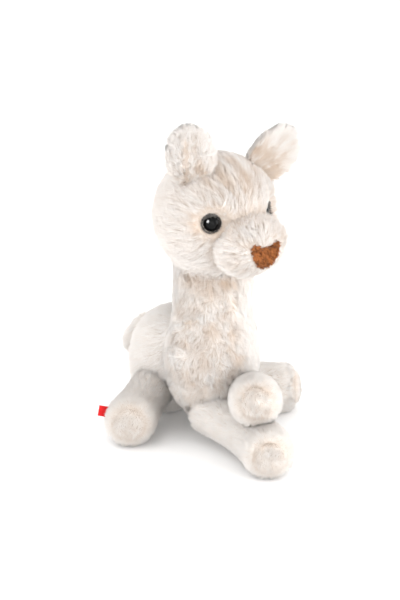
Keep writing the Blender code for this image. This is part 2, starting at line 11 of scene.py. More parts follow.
import bmesh
import bpy
import numpy as np
from mathutils import Matrix, Vector


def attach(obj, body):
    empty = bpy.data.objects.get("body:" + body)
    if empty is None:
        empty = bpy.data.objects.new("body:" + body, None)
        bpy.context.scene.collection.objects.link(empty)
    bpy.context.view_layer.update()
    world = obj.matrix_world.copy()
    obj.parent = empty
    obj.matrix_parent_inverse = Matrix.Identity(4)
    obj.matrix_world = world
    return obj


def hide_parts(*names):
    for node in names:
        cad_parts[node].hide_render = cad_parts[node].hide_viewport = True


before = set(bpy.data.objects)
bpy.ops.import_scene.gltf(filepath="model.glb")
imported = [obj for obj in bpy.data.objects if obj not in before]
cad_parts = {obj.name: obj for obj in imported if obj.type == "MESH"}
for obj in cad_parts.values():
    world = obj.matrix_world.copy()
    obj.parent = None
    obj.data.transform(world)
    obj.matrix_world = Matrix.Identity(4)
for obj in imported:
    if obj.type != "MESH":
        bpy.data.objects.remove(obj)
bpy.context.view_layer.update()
print("solids:", len(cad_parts))

# %% [markdown]
# ## Camera, floor and light
# The photograph looks down a little on the toy's right front quarter, from far enough away that the legs are
# hardly foreshortened. A long lens on a camera 1.8 m off gives that. The toy sits on a plain pale floor that
# runs past the picture on every side, under a bright even sky. Three large lamps stand low: one to the left
# of the picture, one to the right and one by the camera, so that no side is in shadow. The eye light is left
# out of plain diffuse light and only glints on surfaces: it gives the eyes their spark.

# %% Camera
AXIS = np.array([-0.0004, 0.0080, 0.0])  # where the neck's axis stands on the floor
AZIMUTH, ELEVATION, DISTANCE = math.radians(-38), math.radians(20), 1.8
aim = Vector(AXIS) + Vector((0, 0, 0.13))
level = math.cos(ELEVATION)
towards_camera = Vector((math.sin(AZIMUTH) * level, -math.cos(AZIMUTH) * level, math.sin(ELEVATION)))
lens = bpy.data.cameras.new("view")
lens.sensor_fit, lens.sensor_height, lens.lens = "VERTICAL", 24, 84.70588
lens.shift_x, lens.shift_y = -0.02, -0.01875
camera = bpy.data.objects.new("view", lens)
camera.location = aim + towards_camera * DISTANCE
camera.rotation_euler = (-towards_camera).to_track_quat("-Z", "Y").to_euler()
bpy.context.scene.collection.objects.link(camera)
bpy.context.scene.camera = camera

# %% Floor and light
KEY_POWER, FILL_POWER, FRONT_POWER, SPARK_POWER, SKY = 3.6, 14.8, 6.4, 150.0, 1.35


def lamp(name, place, size, power):
    """A square lamp that looks at the middle of the toy."""
    made = bpy.data.objects.new(name, bpy.data.lights.new(name, "AREA"))
    made.data.size, made.data.energy = size, power
    made.location = place
    made.rotation_euler = (Vector(place) - aim).to_track_quat("Z", "Y").to_euler()
    bpy.context.scene.collection.objects.link(made)
    return made


lamp("key_lamp", (-1.50, 0.25, 0.45), 0.9, KEY_POWER)
lamp("fill_lamp", (0.50, -1.40, 0.34), 1.2, FILL_POWER)
lamp("front_lamp", (-1.05, -1.30, 0.22), 1.2, FRONT_POWER)
spark = lamp("eye_light", (-2.20, -0.62, 0.84), 0.8, SPARK_POWER)
spark.visible_diffuse = False
sky = bpy.data.worlds.new("studio")
sky.use_nodes = True
sky.node_tree.nodes["Background"].inputs["Color"].default_value = (1.0, 1.0, 1.0, 1.0)
sky.node_tree.nodes["Background"].inputs["Strength"].default_value = SKY
bpy.context.scene.world = sky
bpy.context.scene.view_settings.view_transform = "Standard"

floor_mesh = bpy.data.meshes.new("studio_floor")
floor_mesh.from_pydata([(-8, -8, 0), (8, -8, 0), (8, 8, 0), (-8, 8, 0)], [], [(0, 1, 2, 3)])
floor = bpy.data.objects.new("studio_floor", floor_mesh)
floor.location.z = -0.0002
bpy.context.scene.collection.objects.link(floor)

# %% [markdown]
# ## Writing materials as sums
# A Blender material is a web of nodes. To keep its formula readable, a small class wraps one output socket
# and lets Python's operators add the Math nodes: `0.2 + mask * 0.5` is then two nodes and two links. Colours
# go through Mix nodes, because a Math node would turn them grey.

# %% Signal and Finish
class Signal:
    """One output socket. + and * on it, with numbers or other signals, add that sum's Math nodes."""

    def __init__(self, finish, socket):
        self.finish, self.socket = finish, socket

    def sum(self, operation, first, second):
        """One Math node on two values."""
        return self.finish.node("ShaderNodeMath", {"operation": operation}, {0: first, 1: second})

    def __add__(self, other):
        return self.sum("ADD", self, other)

    def __mul__(self, other):
        return self.sum("MULTIPLY", self, other)

    __radd__, __rmul__ = __add__, __mul__


class Finish:
    """A material under construction, with its Principled shader."""

    def __init__(self, name):
        self.material = bpy.data.materials.new(name)
        self.material.use_nodes = True
        self.tree = self.material.node_tree
        self.shader = self.tree.nodes["Principled BSDF"]

    def feed(self, socket, value):
        """Links a signal to an input socket, or sets a plain number or colour on it."""
        if isinstance(value, Signal):
            self.tree.links.new(value.socket, socket)
        else:
            socket.default_value = value

    def node(self, kind, settings=None, sockets=None, output=0):
        """Adds a node: its settings first, then its input sockets. Returns one of its outputs."""
        made = self.tree.nodes.new(kind)
        for setting, value in (settings or {}).items():
            setattr(made, setting, value)
        for key, value in (sockets or {}).items():
            self.feed(made.inputs[key], value)
        return Signal(self, made.outputs[output])

    def mix(self, factor, first, second):
        """Mixes two colours by a factor."""
        kind = {"data_type": "RGBA", "clamp_factor": True}
        return self.node("ShaderNodeMix", kind, {0: factor, 6: first, 7: second}, output=2)

    def clipped(self, value, low=0.0, high=1.0):
        """Maps low..high onto 0..1 and holds the ends."""
        return self.node("ShaderNodeMapRange", {"clamp": True}, {0: value, 1: low, 2: high})

    def place(self):
        """Object coordinates, in metres."""
        return self.node("ShaderNodeTexCoord", output=3)

    def noise(self, size, detail=3.0):
        """Blender's noise, with features about size metres across."""
        sockets = {"Vector": self.place(), "Scale": 1 / size, "Detail": detail}
        return self.node("ShaderNodeTexNoise", None, sockets)

    def bump(self, height, depth, strength=1.0):
        """A Bump node that raises the surface by depth metres where height is 1."""
        sockets = {"Height": height, "Distance": depth, "Strength": strength}
        return self.node("ShaderNodeBump", None, sockets)

    def surface(self, **values):
        """Feeds the shader's sockets, named in lower case, and returns the material."""
        sockets = {socket.name.lower().replace(" ", "_"): socket for socket in self.shader.inputs}
        for name, value in values.items():
            self.feed(sockets[name], value)
        return self.material


# %% [markdown]
# The fur's finish reads three numbers that every strand carries in an attribute: how far along the strand a
# point is, the strand's own shade, and how tan its place on the toy is, which is partly the fur's own tan and
# partly painted shade in creases and hollows. The roots are painted tan for the shade deep in the pile, most
# of all in those places, and the tips are pale, so combed-down fur looks cream and a parting between two
# tufts looks tan.

# %% Fur, skin and pad finishes
def rgb(red, green, blue):
    """A colour as Blender wants it."""
    return (red, green, blue, 1.0)


CREAM, PALE = rgb(0.955, 0.890, 0.830), rgb(0.980, 0.945, 0.910)
# TAN is partly the fur's own tan and partly painted shade; ROOT is painted shade, deep in the pile at the
# roots.
TAN, ROOT = rgb(0.730, 0.575, 0.455), rgb(0.680, 0.505, 0.375)


def fur_finish(name, tip, pale, warm, root, glow=0.22, sheen=0.35):
    """Root to tip along the strand, with painted shade at the root, warmed by its place, lightened or
    darkened by its own shade.

    glow is the share of light that passes through the fine fibres, and sheen the bright edge that loose
    fibres give a pile seen along its surface.
    """
    finish = Finish(name)
    fibre = finish.node("ShaderNodeAttribute", {"attribute_name": "fibre"}, output=1)
    parts = finish.tree.nodes.new("ShaderNodeSeparateXYZ")
    finish.feed(parts.inputs[0], fibre)
    along, shade, tan_and_shade = (Signal(finish, parts.outputs[k]) for k in range(3))
    patch = finish.clipped(finish.noise(0.018, 2.0), 0.35, 0.7)
    lit = finish.mix(shade, tip, pale)
    toned = finish.mix(finish.clipped(tan_and_shade * (0.62 + 0.5 * patch)), lit, warm)
    # Painted shade: deep in the pile the colour turns to the root's, more where the place is tan.
    shaded = finish.mix(finish.clipped(0.18 + 1.2 * tan_and_shade), tip, root)
    grown = finish.mix(finish.clipped(along * 1.15 + 0.10 + 0.25 * shade), shaded, toned)
    return finish.surface(
        base_color=grown, roughness=0.78, specular_ior_level=0.15, sheen_weight=sheen, sheen_roughness=0.5,
        sheen_tint=PALE, subsurface_weight=glow, subsurface_scale=0.0003, subsurface_radius=(1.0, 0.95, 0.90)
    )


def backing_finish(name, colour, dark):
    """A knitted backing: mottled, with a fine looped grain."""
    finish = Finish(name)
    mottle = finish.clipped(finish.noise(0.006), 0.35, 0.65)
    loops = finish.node("ShaderNodeTexVoronoi", None, {"Vector": finish.place(), "Scale": 1 / 0.0009})
    grain = finish.bump(loops, 0.0002, 0.6)
    return finish.surface(base_color=finish.mix(mottle, dark, colour), roughness=0.9, normal=grain)


fur = fur_finish("cream_pile", CREAM, PALE, TAN, ROOT)
short_fur = fur_finish(
    "short_pile", rgb(0.965, 0.895, 0.830), rgb(0.985, 0.945, 0.905),
    rgb(0.74, 0.61, 0.51), rgb(0.90, 0.80, 0.71)
)
nose_fur = fur_finish(
    "brown_pile", rgb(0.44, 0.150, 0.042), rgb(0.58, 0.215, 0.070),
    rgb(0.20, 0.065, 0.020), rgb(0.08, 0.025, 0.008), glow=0.0, sheen=0.05
)
# Dark strands in each eye's hollow: painted shade there, and the few hairs that cross the eye's rim.
hollow_shade_pile = fur_finish(
    "dark_lashes", rgb(0.17, 0.155, 0.145), rgb(0.27, 0.25, 0.23),
    rgb(0.06, 0.055, 0.05), rgb(0.025, 0.02, 0.02), glow=0.0, sheen=0.10
)
backing = backing_finish("plush_backing", rgb(0.82, 0.72, 0.63), rgb(0.74, 0.63, 0.53))
sole_backing = backing_finish("sole_backing", rgb(0.60, 0.50, 0.42), rgb(0.52, 0.42, 0.34))
nose_backing = backing_finish("nose_backing", rgb(0.22, 0.085, 0.03), rgb(0.12, 0.045, 0.02))

# %% [markdown]
# ## The stuffed forms
# Belly, back, rump, head and muzzle are round, so each can be drawn as rays from a core: every direction has
# one distance to the outside. A form of several balls takes the largest of their distances, softened by
# adding high powers, which leaves the creases where two balls meet round instead of sharp.

# %% Rays, and how far they reach
def ball_reach(rays, core, centre, radii):
    """Where a ray leaves an ellipsoid: the larger root of its quadratic, or 0 where the ray misses it."""
    radii = np.array(radii)
    offset = (np.array(core) - np.array(centre)) / radii
    scaled = rays / radii
    a = (scaled**2).sum(axis=1)
    b = scaled @ offset
    inside = b**2 - a * (offset @ offset - 1)
    far = (-b + np.sqrt(np.maximum(inside, 0))) / a
    return np.where(inside > 0, np.maximum(far, 0), 0.0)


def column_reach(rays, setback, radius, top, bottom, power=7.0):
    """Where a ray leaves an upright column: its round side and its flat end, joined by a soft minimum."""
    a = np.maximum(rays[:, 0] ** 2 + rays[:, 1] ** 2, 1e-9)
    b = rays[:, 1] * setback
    side = (-b + np.sqrt(b**2 + a * (radius**2 - setback**2))) / a
    end = np.where(rays[:, 2] > 0, top, bottom) / np.maximum(np.abs(rays[:, 2]), 1e-9)
    return (side**-power + end**-power) ** (-1 / power)


def blended(*reaches, power=9):
    """A soft maximum: the power-th root of the sum of the powers."""
    return (np.array(reaches) ** power).sum(axis=0) ** (1 / power)


BODY_CORE = np.array([0.0, 0.014, 0.066])
HEAD_CORE = np.array([0.0, -0.0055, 0.198])
MUZZLE_CORE = HEAD_CORE + (0.0, -0.0450, -0.0140)
BELLY = (0, 0, 0.068), (0.0405, 0.0360, 0.0570)  # a centre, and half the width, length and height
BACK = (0, 0.050, 0.0605), (0.0380, 0.0405, 0.0390)
RUMP = (0, 0.0605, 0.0370), (0.0345, 0.0285, 0.0385)
NECK_RADIUS, NECK_TOP, NECK_FOOT = 0.0325, 0.114, 0.0285  # top and foot are measured from the body's core
HEAD_RADIUS = 0.0510
MUZZLE = MUZZLE_CORE, (0.0340, 0.0225, 0.0265)
BRIDGE = MUZZLE_CORE + (0.0, 0.0090, 0.0130), (0.0110, 0.0155, 0.0120)


def body_reach(rays):
    """Belly, back, rump and neck."""
    balls = [ball_reach(rays, BODY_CORE, *form) for form in (BELLY, BACK, RUMP)]
    return blended(*balls, column_reach(rays, BODY_CORE[1], NECK_RADIUS, NECK_TOP, NECK_FOOT))


def head_reach(rays):
    """The skull's ball."""
    return np.full(len(rays), HEAD_RADIUS)


def muzzle_reach(rays):
    """The muzzle's wide ball, with the bridge that runs up it between the eyes."""
    return blended(*(ball_reach(rays, MUZZLE_CORE, *form) for form in (MUZZLE, BRIDGE)))


def unit(vectors):
    """Vectors of length 1, the same way."""
    return vectors / np.maximum(np.linalg.norm(vectors, axis=-1, keepdims=True), 1e-12)


def bell(value, middle, width):
    """A bell curve: 1 at the middle, and e^-1 a width to either side of it."""
    return np.exp(-(((value - middle) / width) ** 2))


def sunk_in(core, reach):
    """A function that gives how deep points lie under a form's outside, along the rays from its core."""

    def depth(points):
        offset = points - AXIS - core
        return reach(unit(offset)) - np.linalg.norm(offset, axis=1)

    return depth


in_body = sunk_in(BODY_CORE, body_reach)
in_head = sunk_in(HEAD_CORE, head_reach)
in_muzzle = sunk_in(MUZZLE_CORE, muzzle_reach)

# %% [markdown]
# A leg is a tube carried along a path, swelling into a foot. The path is a quadratic curve from the hip or
# shoulder through the ankle, so that the foot ends up facing the way its sole faces. An ear is an oval pad
# whose two edges come forward, most of all near the base, where the real one is folded and sewn.

# %% Leg paths
LEG_RADIUS, FOOT_RADIUS, TOE_LENGTH, ANKLE_LENGTH = 0.0192, 0.0220, 0.0165, 0.030


def facing(turn, tilt):
    """The direction turned from straight ahead towards the toy's left, and tilted up, in degrees."""
    turn, tilt = math.radians(turn), math.radians(tilt)
    return np.array([math.sin(turn) * math.cos(tilt), -math.cos(turn) * math.cos(tilt), math.sin(tilt)])


LEGS = {
    "hindleg_right": ((-0.026, 0.046, 0.036), (-0.0740, 0.0185, 0.0212), facing(-43, 10)),
    "hindleg_left": ((0.026, 0.046, 0.036), (0.0765, -0.0040, 0.0212), facing(50, 3)),
    "foreleg_right": ((-0.0170, -0.0110, 0.0270), (-0.0230, -0.1050, 0.0212), facing(-33, 3)),
    "foreleg_left": ((0.0280, -0.0110, 0.0340), (-0.0180, -0.0820, 0.0585), facing(-37, 17)),
}


def leg_path(name, steps=36):
    """Even steps along (1-t)^2 root + 2t(1-t) ankle + t^2 foot, and the tube's radius at each."""
    root, foot, face = (np.array(v, float) for v in LEGS[name])
    ankle = foot - face * ANKLE_LENGTH
    t = np.linspace(0, 1, 300)[:, None]
    curve = (1 - t) ** 2 * root + 2 * t * (1 - t) * ankle + t**2 * foot
    run = np.concatenate([[0], np.cumsum(np.linalg.norm(np.diff(curve, axis=0), axis=1))])
    wanted = np.linspace(0, run[-1], steps)
    path = np.stack([np.interp(wanted, run, curve[:, k]) for k in range(3)], axis=1)
    swell = np.clip((np.linspace(0, 1, steps) - 0.35) / 0.6, 0, 1)
    radius = LEG_RADIUS + (FOOT_RADIUS - LEG_RADIUS) * swell**2 * (3 - 2 * swell)
    return path, radius


def leg_rings(name, around=40, toes=10):
    """Circles square to the path, then the toe's quarter ellipse turned about the way the sole faces."""
    path, radius = leg_path(name)
    _, foot, face = (np.array(v, float) for v in LEGS[name])
    ahead = unit(np.gradient(path, axis=0))
    a = np.linspace(0, math.pi / 2, toes + 1)[1:-1]
    path = np.vstack([path, foot + face * TOE_LENGTH * np.sin(a)[:, None]])
    ahead = np.vstack([ahead, np.tile(face, (len(a), 1))])
    radius = np.concatenate([radius, FOOT_RADIUS * np.cos(a)])
    side = unit(np.cross(ahead, (0, 0, 1)))
    rise = np.cross(side, ahead)
    turn = 2 * math.pi * np.arange(around)[None, :, None] / around
    circle = np.cos(turn) * side[:, None] + np.sin(turn) * rise[:, None]
    rings = path[:, None] + radius[:, None, None] * circle
    return rings, path[0] - ahead[0] * LEG_RADIUS * 0.5, foot + face * TOE_LENGTH


def in_leg(name):
    """How deep points lie under a leg's outside: its radius less the distance to the path's nearest step."""
    path, radius = leg_path(name)
    path = path + AXIS

    def depth(points):
        gap = np.linalg.norm(points[:, None] - path[None], axis=2)
        return (radius[None] - gap).max(axis=1)

    return depth


# %% Ear pads
EAR_LENGTH, EAR_HALF_WIDTH, EAR_HALF_THICKNESS, EAR_CUP, EAR_CREASE = 0.0590, 0.0200, 0.0065, 0.0080, 0.0034


def ear_frame(side, spread, lean, nod, turn):
    """The ear's own frame: Z runs up it and -Y looks into its cup."""
    base = Vector((side * spread, HEAD_CORE[1] - 0.0070, HEAD_CORE[2] + 0.0295)) + Vector(AXIS)
    leaned = Matrix.Translation(base) @ Matrix.Rotation(side * math.radians(lean), 4, "Y")
    nodded = leaned @ Matrix.Rotation(math.radians(nod), 4, "X")
    return np.array(nodded @ Matrix.Rotation(math.radians(turn), 4, "Z"))


EARS = {"ear_right": ear_frame(-1, 0.0290, 9, 3, -28), "ear_left": ear_frame(1, 0.0255, 51, 12, -5)}


def ear_rings(name, count=36, around=40):
    """Ovals up the ear: width and thickness follow powers of a sine, the edges come forward as x^2, and a
    bell-shaped crease is pressed into the front along the middle."""
    share = (np.arange(count)[:, None] + 0.5) / count
    a = 2 * math.pi * np.arange(around)[None] / around
    arch = np.sin(math.pi * share)
    width = EAR_HALF_WIDTH * arch ** np.where(share < 0.5, 0.38, 0.50)
    forward = EAR_CUP * (1.15 - 0.75 * share) * np.cos(a) ** 2 * width / EAR_HALF_WIDTH
    crease = EAR_CREASE * bell(width * np.cos(a), 0, 0.0080) * np.maximum(-np.sin(a), 0) * arch
    y = EAR_HALF_THICKNESS * arch**0.5 * np.sin(a) - forward + crease
    local = np.stack([width * np.cos(a), y, EAR_LENGTH * share + 0 * a], axis=2)
    frame_of = EARS[name]
    rings = local @ frame_of[:3, :3].T + frame_of[:3, 3] - AXIS
    ends = np.array([[0, 0, 0], [0, 0, EAR_LENGTH]]) @ frame_of[:3, :3].T + frame_of[:3, 3] - AXIS
    return rings, ends[0], ends[1]


def in_ear_frame(name, points):
    """Points as the ear sees them."""
    return (points - EARS[name][:3, 3]) @ EARS[name][:3, :3]


# %% [markdown]
# ## From a form to a stuffed skin
# A skin starts as a grid of rings closed by a pole at each end. It is pulled in along its own normals to make
# room for the pile, cut to even small squares by a voxel remesh, and then filled: Blender's Cloth blows it up
# from inside for twenty frames with gravity off. How far a point may move is capped, because the real plush
# hardly stretches. On average that moves the thin ears' points by about a millimetre and those of the other
# skins by less than a tenth of one, so the toy's roundness is in its forms. One subdivision rounds off what
# is left of the squares.

# %% Closing, sinking and filling a skin
VOXEL, FILL_PRESSURE, FILL_FRAMES = 0.0042, 4.0, 20


def show(name, mesh, finish):
    """Puts a mesh in the scene with one finish, smooth shaded."""
    made = bpy.data.objects.new(name, mesh)
    bpy.context.scene.collection.objects.link(made)
    mesh.materials.clear()
    mesh.materials.append(finish)
    mesh.shade_smooth()
    return made


def vertex_array(mesh, what="co"):
    """A mesh's points or normals as rows of three."""
    values = np.empty(len(mesh.vertices) * 3, np.float32)
    if what == "co":
        mesh.vertices.foreach_get("co", values)
    else:
        mesh.vertex_normals.foreach_get("vector", values)
    return values.reshape(-1, 3).astype(float)


def closed_grid(name, rings, first, last):
    """Rings of points joined by four-sided faces, with a fan at each pole, facing outwards."""
    count, around = rings.shape[:2]
    points = np.vstack([rings.reshape(-1, 3), first, last]) + AXIS
    i, j = np.meshgrid(np.arange(count - 1), np.arange(around), indexing="ij")
    i, j, k = i.ravel(), j.ravel(), (j.ravel() + 1) % around
    sides = np.stack([i * around + j, (i + 1) * around + j, (i + 1) * around + k, i * around + k], axis=1)
    j = np.arange(around)
    k, end = (j + 1) % around, (count - 1) * around
    top = np.stack([np.full(around, count * around), j, k], axis=1)
    bottom = np.stack([np.full(around, count * around + 1), end + k, end + j], axis=1)
    a, b, c = points[sides[:, 0]], points[sides[:, 1]], points[sides[:, 2]]
    if (np.cross(a - points.mean(axis=0), b - points.mean(axis=0)) * (c - points.mean(axis=0))).sum() < 0:
        sides, top, bottom = sides[:, ::-1], top[:, ::-1], bottom[:, ::-1]
    mesh = bpy.data.meshes.new(name)
    mesh.from_pydata(points.tolist(), [], sides.tolist() + top.tolist() + bottom.tolist())
    return mesh


def ray_rings(core, reach, count=64, around=72):
    """Rings of ray ends from the top pole to the bottom one, for closed_grid."""
    polar, turn = np.meshgrid(
        np.linspace(0, math.pi, count + 2)[1:-1], 2 * math.pi * np.arange(around) / around, indexing="ij"
    )
    rays = np.stack([np.sin(polar) * np.cos(turn), np.sin(polar) * np.sin(turn), np.cos(polar)], axis=2)
    ends = core + rays * reach(rays.reshape(-1, 3)).reshape(count, around, 1)
    poles = np.array([[0.0, 0.0, 1.0], [0.0, 0.0, -1.0]])
    tips = core + poles * reach(poles)[:, None]
    return ends, tips[0], tips[1]


def settled(skin, kind, **settings):
    """Adds a modifier, bakes what it gives into the skin's mesh, and takes it off again."""
    step = skin.modifiers.new(kind.lower(), kind)
    for setting, value in settings.items():
        setattr(step, setting, value)
    graph = bpy.context.evaluated_depsgraph_get()
    made = bpy.data.meshes.new_from_object(skin.evaluated_get(graph))
    old, skin.data = skin.data, made
    skin.modifiers.clear()
    bpy.data.meshes.remove(old)


def sewn(name, rings, depth, finish=None, voxel=VOXEL):
    """A closed skin sunk under its form by depth(points), and cut into even squares."""
    mesh = closed_grid(name, *rings)
    points = vertex_array(mesh)
    points -= vertex_array(mesh, "normals") * depth(points)[:, None]
    points[:, 2] = np.maximum(points[:, 2], 0.0006)
    mesh.vertices.foreach_set("co", points.astype(np.float32).ravel())
    skin = show(name, mesh, finish or backing)
    settled(skin, "REMESH", mode="VOXEL", voxel_size=voxel)
    return skin


def stuffed(piece, node):
    """Says that a soft piece rides on the toy, and that it takes its solid's place."""
    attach(piece, "root")
    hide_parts(node)


def filled(skins, cap):
    """Blows the skins up together, moves no point further than its skin's cap, and rounds them off."""
    starts = [vertex_array(skin.data) for skin in skins]
    for skin in skins:
        cloth = skin.modifiers.new("filling", "CLOTH")
        cloth.settings.use_pressure = True
        cloth.settings.uniform_pressure_force = FILL_PRESSURE
        cloth.settings.effector_weights.gravity = 0
        cloth.point_cache.frame_start, cloth.point_cache.frame_end = 1, FILL_FRAMES
    for step in range(1, FILL_FRAMES + 1):
        bpy.context.scene.frame_set(step)
    graph = bpy.context.evaluated_depsgraph_get()
    for skin, start in zip(skins, starts):
        moved = vertex_array(skin.evaluated_get(graph).data) - start
        far = np.linalg.norm(moved, axis=1, keepdims=True)
        print(f"{skin.name} filled by {far.mean() * 1000:.1f} mm, before the cap")
        moved *= np.minimum(1, cap / np.maximum(far, 1e-9))
        points = start + moved
        points[:, 2] = np.maximum(points[:, 2], 0.0006)
        skin.modifiers.clear()
        skin.data.vertices.foreach_set("co", points.astype(np.float32).ravel())
    bpy.context.scene.frame_set(1)
    for skin in skins:
        settled(skin, "SUBSURF", levels=1, render_levels=1)
        skin.data.shade_smooth()


# %% [markdown]
# The pile isn't equally deep everywhere. It is clipped short round the eyes and the nose, so that they sit on
# the skin and aren't buried, and it is short on the ears, legs and soles. A smooth step from one distance to
# another says how it changes.

# %% Pile depth
def smooth_step(value, low, high):
    """0 below low, 1 above high, and 3t^2 - 2t^3 between."""
    t = np.clip((value - low) / (high - low), 0, 1)
    return t * t * (3 - 2 * t)


EYE_PLACES = [AXIS + HEAD_CORE + (side * 0.0262, -0.0278, 0.0050) for side in (-1, 1)]
NOSE_PLACE = AXIS + MUZZLE_CORE + (0.0, -0.0215, -0.0045)


def eye_distance(points, hollow=0.0):
    """The distance from the nearer eye's axis, which runs out of the head's middle.

    With a hollow, it counts for less on the side towards the middle of the face, where thread pulls the real
    eye in towards the other one.
    """
    gaps = []
    for eye in EYE_PLACES:
        out = unit(eye - AXIS - HEAD_CORE)
        offset = points - eye
        ahead = offset @ out
        beside = offset - ahead[:, None] * out
        inwards = unit(np.cross((0, 0, 1.0), out)) * -np.sign(out[0])
        share = 1 - hollow * np.clip(unit(beside) @ inwards, 0, 1)
        gaps.append(np.where(ahead > -0.02, np.linalg.norm(beside, axis=1) * share, 1.0))
    return np.minimum(*gaps)


def nose_outline():
    """The nose's edge as (across, up) in metres: two horns with a dip between them, and a round foot."""
    right = [(0.0, 0.62), (0.34, 0.66), (0.62, 0.82), (0.84, 1.0), (0.98, 0.84), (1.0, 0.30), (0.86, -0.22)]
    right += [(0.60, -0.66), (0.32, -0.93)]
    left = [(-x, y) for x, y in reversed(right[1:])]
    return np.array([*right, (0.0, -1.0), *left]) * (0.0150, 0.0120) * 0.90


def nose_distance(points):
    """The distance from the nose's middle, counted so that its edge lies 1 away in every direction."""
    edge = nose_outline()
    around = np.arctan2(edge[:, 0], edge[:, 1])
    order = np.argsort(around)
    offset = points - NOSE_PLACE
    angle = np.arctan2(offset[:, 0], offset[:, 2])
    reach = np.interp(angle, around[order], np.linalg.norm(edge, axis=1)[order], period=2 * math.pi)
    return np.where(offset[:, 1] < 0.015, np.linalg.norm(offset[:, ::2], axis=1) / reach, 9.0)


def by_muzzle(points):
    """1 in the crease where the head meets the muzzle, fading to 0 a few millimetres away."""
    return 1 - smooth_step(-in_muzzle(points), -0.003, 0.006)


def by_neck(points):
    """1 under the jaw, where the head meets the neck, fading to 0 a centimetre away."""
    return 1 - smooth_step(-in_body(points), -0.003, 0.010)


HOLLOW = 0.38  # how much further an eye's hollow runs towards the middle of the face


def head_pile(points):
    """How far the head's fur stands off its skin: less round the eyes and by the muzzle, more by the neck."""
    clear_of_eye = smooth_step(eye_distance(points, HOLLOW), 0.0088, 0.0138)
    return 0.0018 + 0.0032 * clear_of_eye * (1 - 0.8 * by_muzzle(points)) + 0.0030 * by_neck(points)


def head_sink(points):
    """How deep the head's skin lies: a little, and down to the eye's back in the eye's socket."""
    return 0.0026 + 0.0102 * (1 - smooth_step(eye_distance(points, HOLLOW), 0.0083, 0.0124))


def muzzle_pile(points):
    """How far the muzzle's fur stands off its skin."""
    clear_of_nose = smooth_step(nose_distance(points), 0.9, 1.6)
    return 0.0024 + 0.0026 * clear_of_nose - 0.0030 * (1 - smooth_step(eye_distance(points), 0.010, 0.019))


def muzzle_sink(points):
    """How deep the muzzle's skin lies: less by the nose, and out of the eyes' way."""
    clear_of_nose = smooth_step(nose_distance(points), 1.0, 1.4)
    return 0.0010 + 0.0024 * clear_of_nose + 0.0060 * (1 - smooth_step(eye_distance(points), 0.009, 0.015))


def even_pile(depth):
    """The same depth everywhere."""
    return lambda points: np.full(len(points), depth)


BODY_PILE, LEG_PILE, TAIL_PILE = 0.0046, 0.0028, 0.0042  # how far the fur stands off its skin
BODY_SINK, EAR_SINK, LEG_SINK, TAIL_SINK = 0.0037, 0.0016, 0.0021, 0.0030  # how deep the skin lies

# %% The skins
FILL_CAP = 0.0012  # how far the filling may push a point of the skin
SKINS = {
    "body": sewn("body_skin", ray_rings(BODY_CORE, body_reach), even_pile(BODY_SINK)),
    "head": sewn("head_skin", ray_rings(HEAD_CORE, head_reach), head_sink),
    "muzzle": sewn("muzzle_skin", ray_rings(MUZZLE_CORE, muzzle_reach), muzzle_sink),
}
for leg in LEGS:
    SKINS[leg] = sewn(f"{leg}_skin", leg_rings(leg), even_pile(LEG_SINK))
for ear in EARS:
    SKINS[ear] = sewn(f"{ear}_skin", ear_rings(ear), even_pile(EAR_SINK), voxel=0.0020)


def tail_reach(rays):
    """A drop: a slim upright ball, blended with a fuller one low down."""
    slim = ball_reach(rays, (0, 0, 0), (0, 0, 0), (0.0120, 0.0100, 0.0232))
    return blended(slim, ball_reach(rays, (0, 0, 0), (0, 0, -0.0088), (0.0150, 0.0125, 0.0144)))


TAIL_SLOPE = np.array(Matrix.Rotation(math.radians(28), 3, "X"))
TAIL_PLACE = np.array([-0.0085, 0.0905, 0.0660])
tail_rings = [ring @ TAIL_SLOPE.T + TAIL_PLACE for ring in ray_rings(np.zeros(3), tail_reach, 24, 32)]
SKINS["tail"] = sewn("tail_skin", tail_rings, even_pile(TAIL_SINK), voxel=0.0030)
filled(list(SKINS.values()), FILL_CAP)
for node, skin in SKINS.items():
    stuffed(skin, node)
print("skins:", {node: len(skin.data.polygons) for node, skin in SKINS.items()})

# %% [markdown]
# The sole of each foot is a round pad of shorter plush, let into the toe, a little crowned, with the seam
# round it pulled in. Turning a short profile about the way the foot faces gives it.

# %% Sole pads
SOLE_RADIUS, SOLE_RISE, SOLE_CROWN, SOLE_SEAT = 0.0134, 0.0012, 0.0048, 0.0082


def sole_frame(name):
    """The sole's own frame: Z points out of the foot, and the origin is the middle of the pad's back."""
    _, foot, face = LEGS[name]
    back = Vector(foot) + Vector(face) * SOLE_SEAT + Vector(AXIS)
    return np.array(Matrix.Translation(back) @ Vector(face).to_track_quat("Z", "Y").to_matrix().to_4x4())


def sole_rings(name, around=40):
    """A profile of radius and height turned about Z: up the rim, then over the crown as a cosine."""
    a = np.linspace(0, math.pi / 2, 8)[:-1]
    radius = np.concatenate([[SOLE_RADIUS * 0.96, SOLE_RADIUS], SOLE_RADIUS * np.cos(a[1:])])
    height = np.concatenate([[0, SOLE_RISE * 0.6], SOLE_RISE + SOLE_CROWN * np.sin(a[1:])])
    turn = 2 * math.pi * np.arange(around) / around
    circle = np.stack([np.cos(turn), np.sin(turn), 0 * turn], axis=1)
    local = radius[:, None, None] * circle + height[:, None, None] * np.array([0, 0, 1.0])
    seat = sole_frame(name)
    move = lambda points: points @ seat[:3, :3].T + seat[:3, 3] - AXIS
    return move(local), move(np.zeros(3)), move(np.array([0, 0, SOLE_RISE + SOLE_CROWN]))


SOLES = {leg: show(f"sole_{leg}_skin", closed_grid(leg, *sole_rings(leg)), sole_backing) for leg in LEGS}
for leg, pad in SOLES.items():
    settled(pad, "SUBSURF", levels=1, render_levels=1)
    stuffed(pad, f"sole_{leg}")

# %% [markdown]
# ## Growing the fur
# Each strand is a thin closed blade of three sides: a root ring, a middle ring and a point, seven points in
# all. It leaves the skin nearly upright and bends over the way the fur is combed there. Neighbouring strands
# lean towards one of their number, which draws the pile into tufts with partings between them. All of it is
# arrays: every strand is one row.

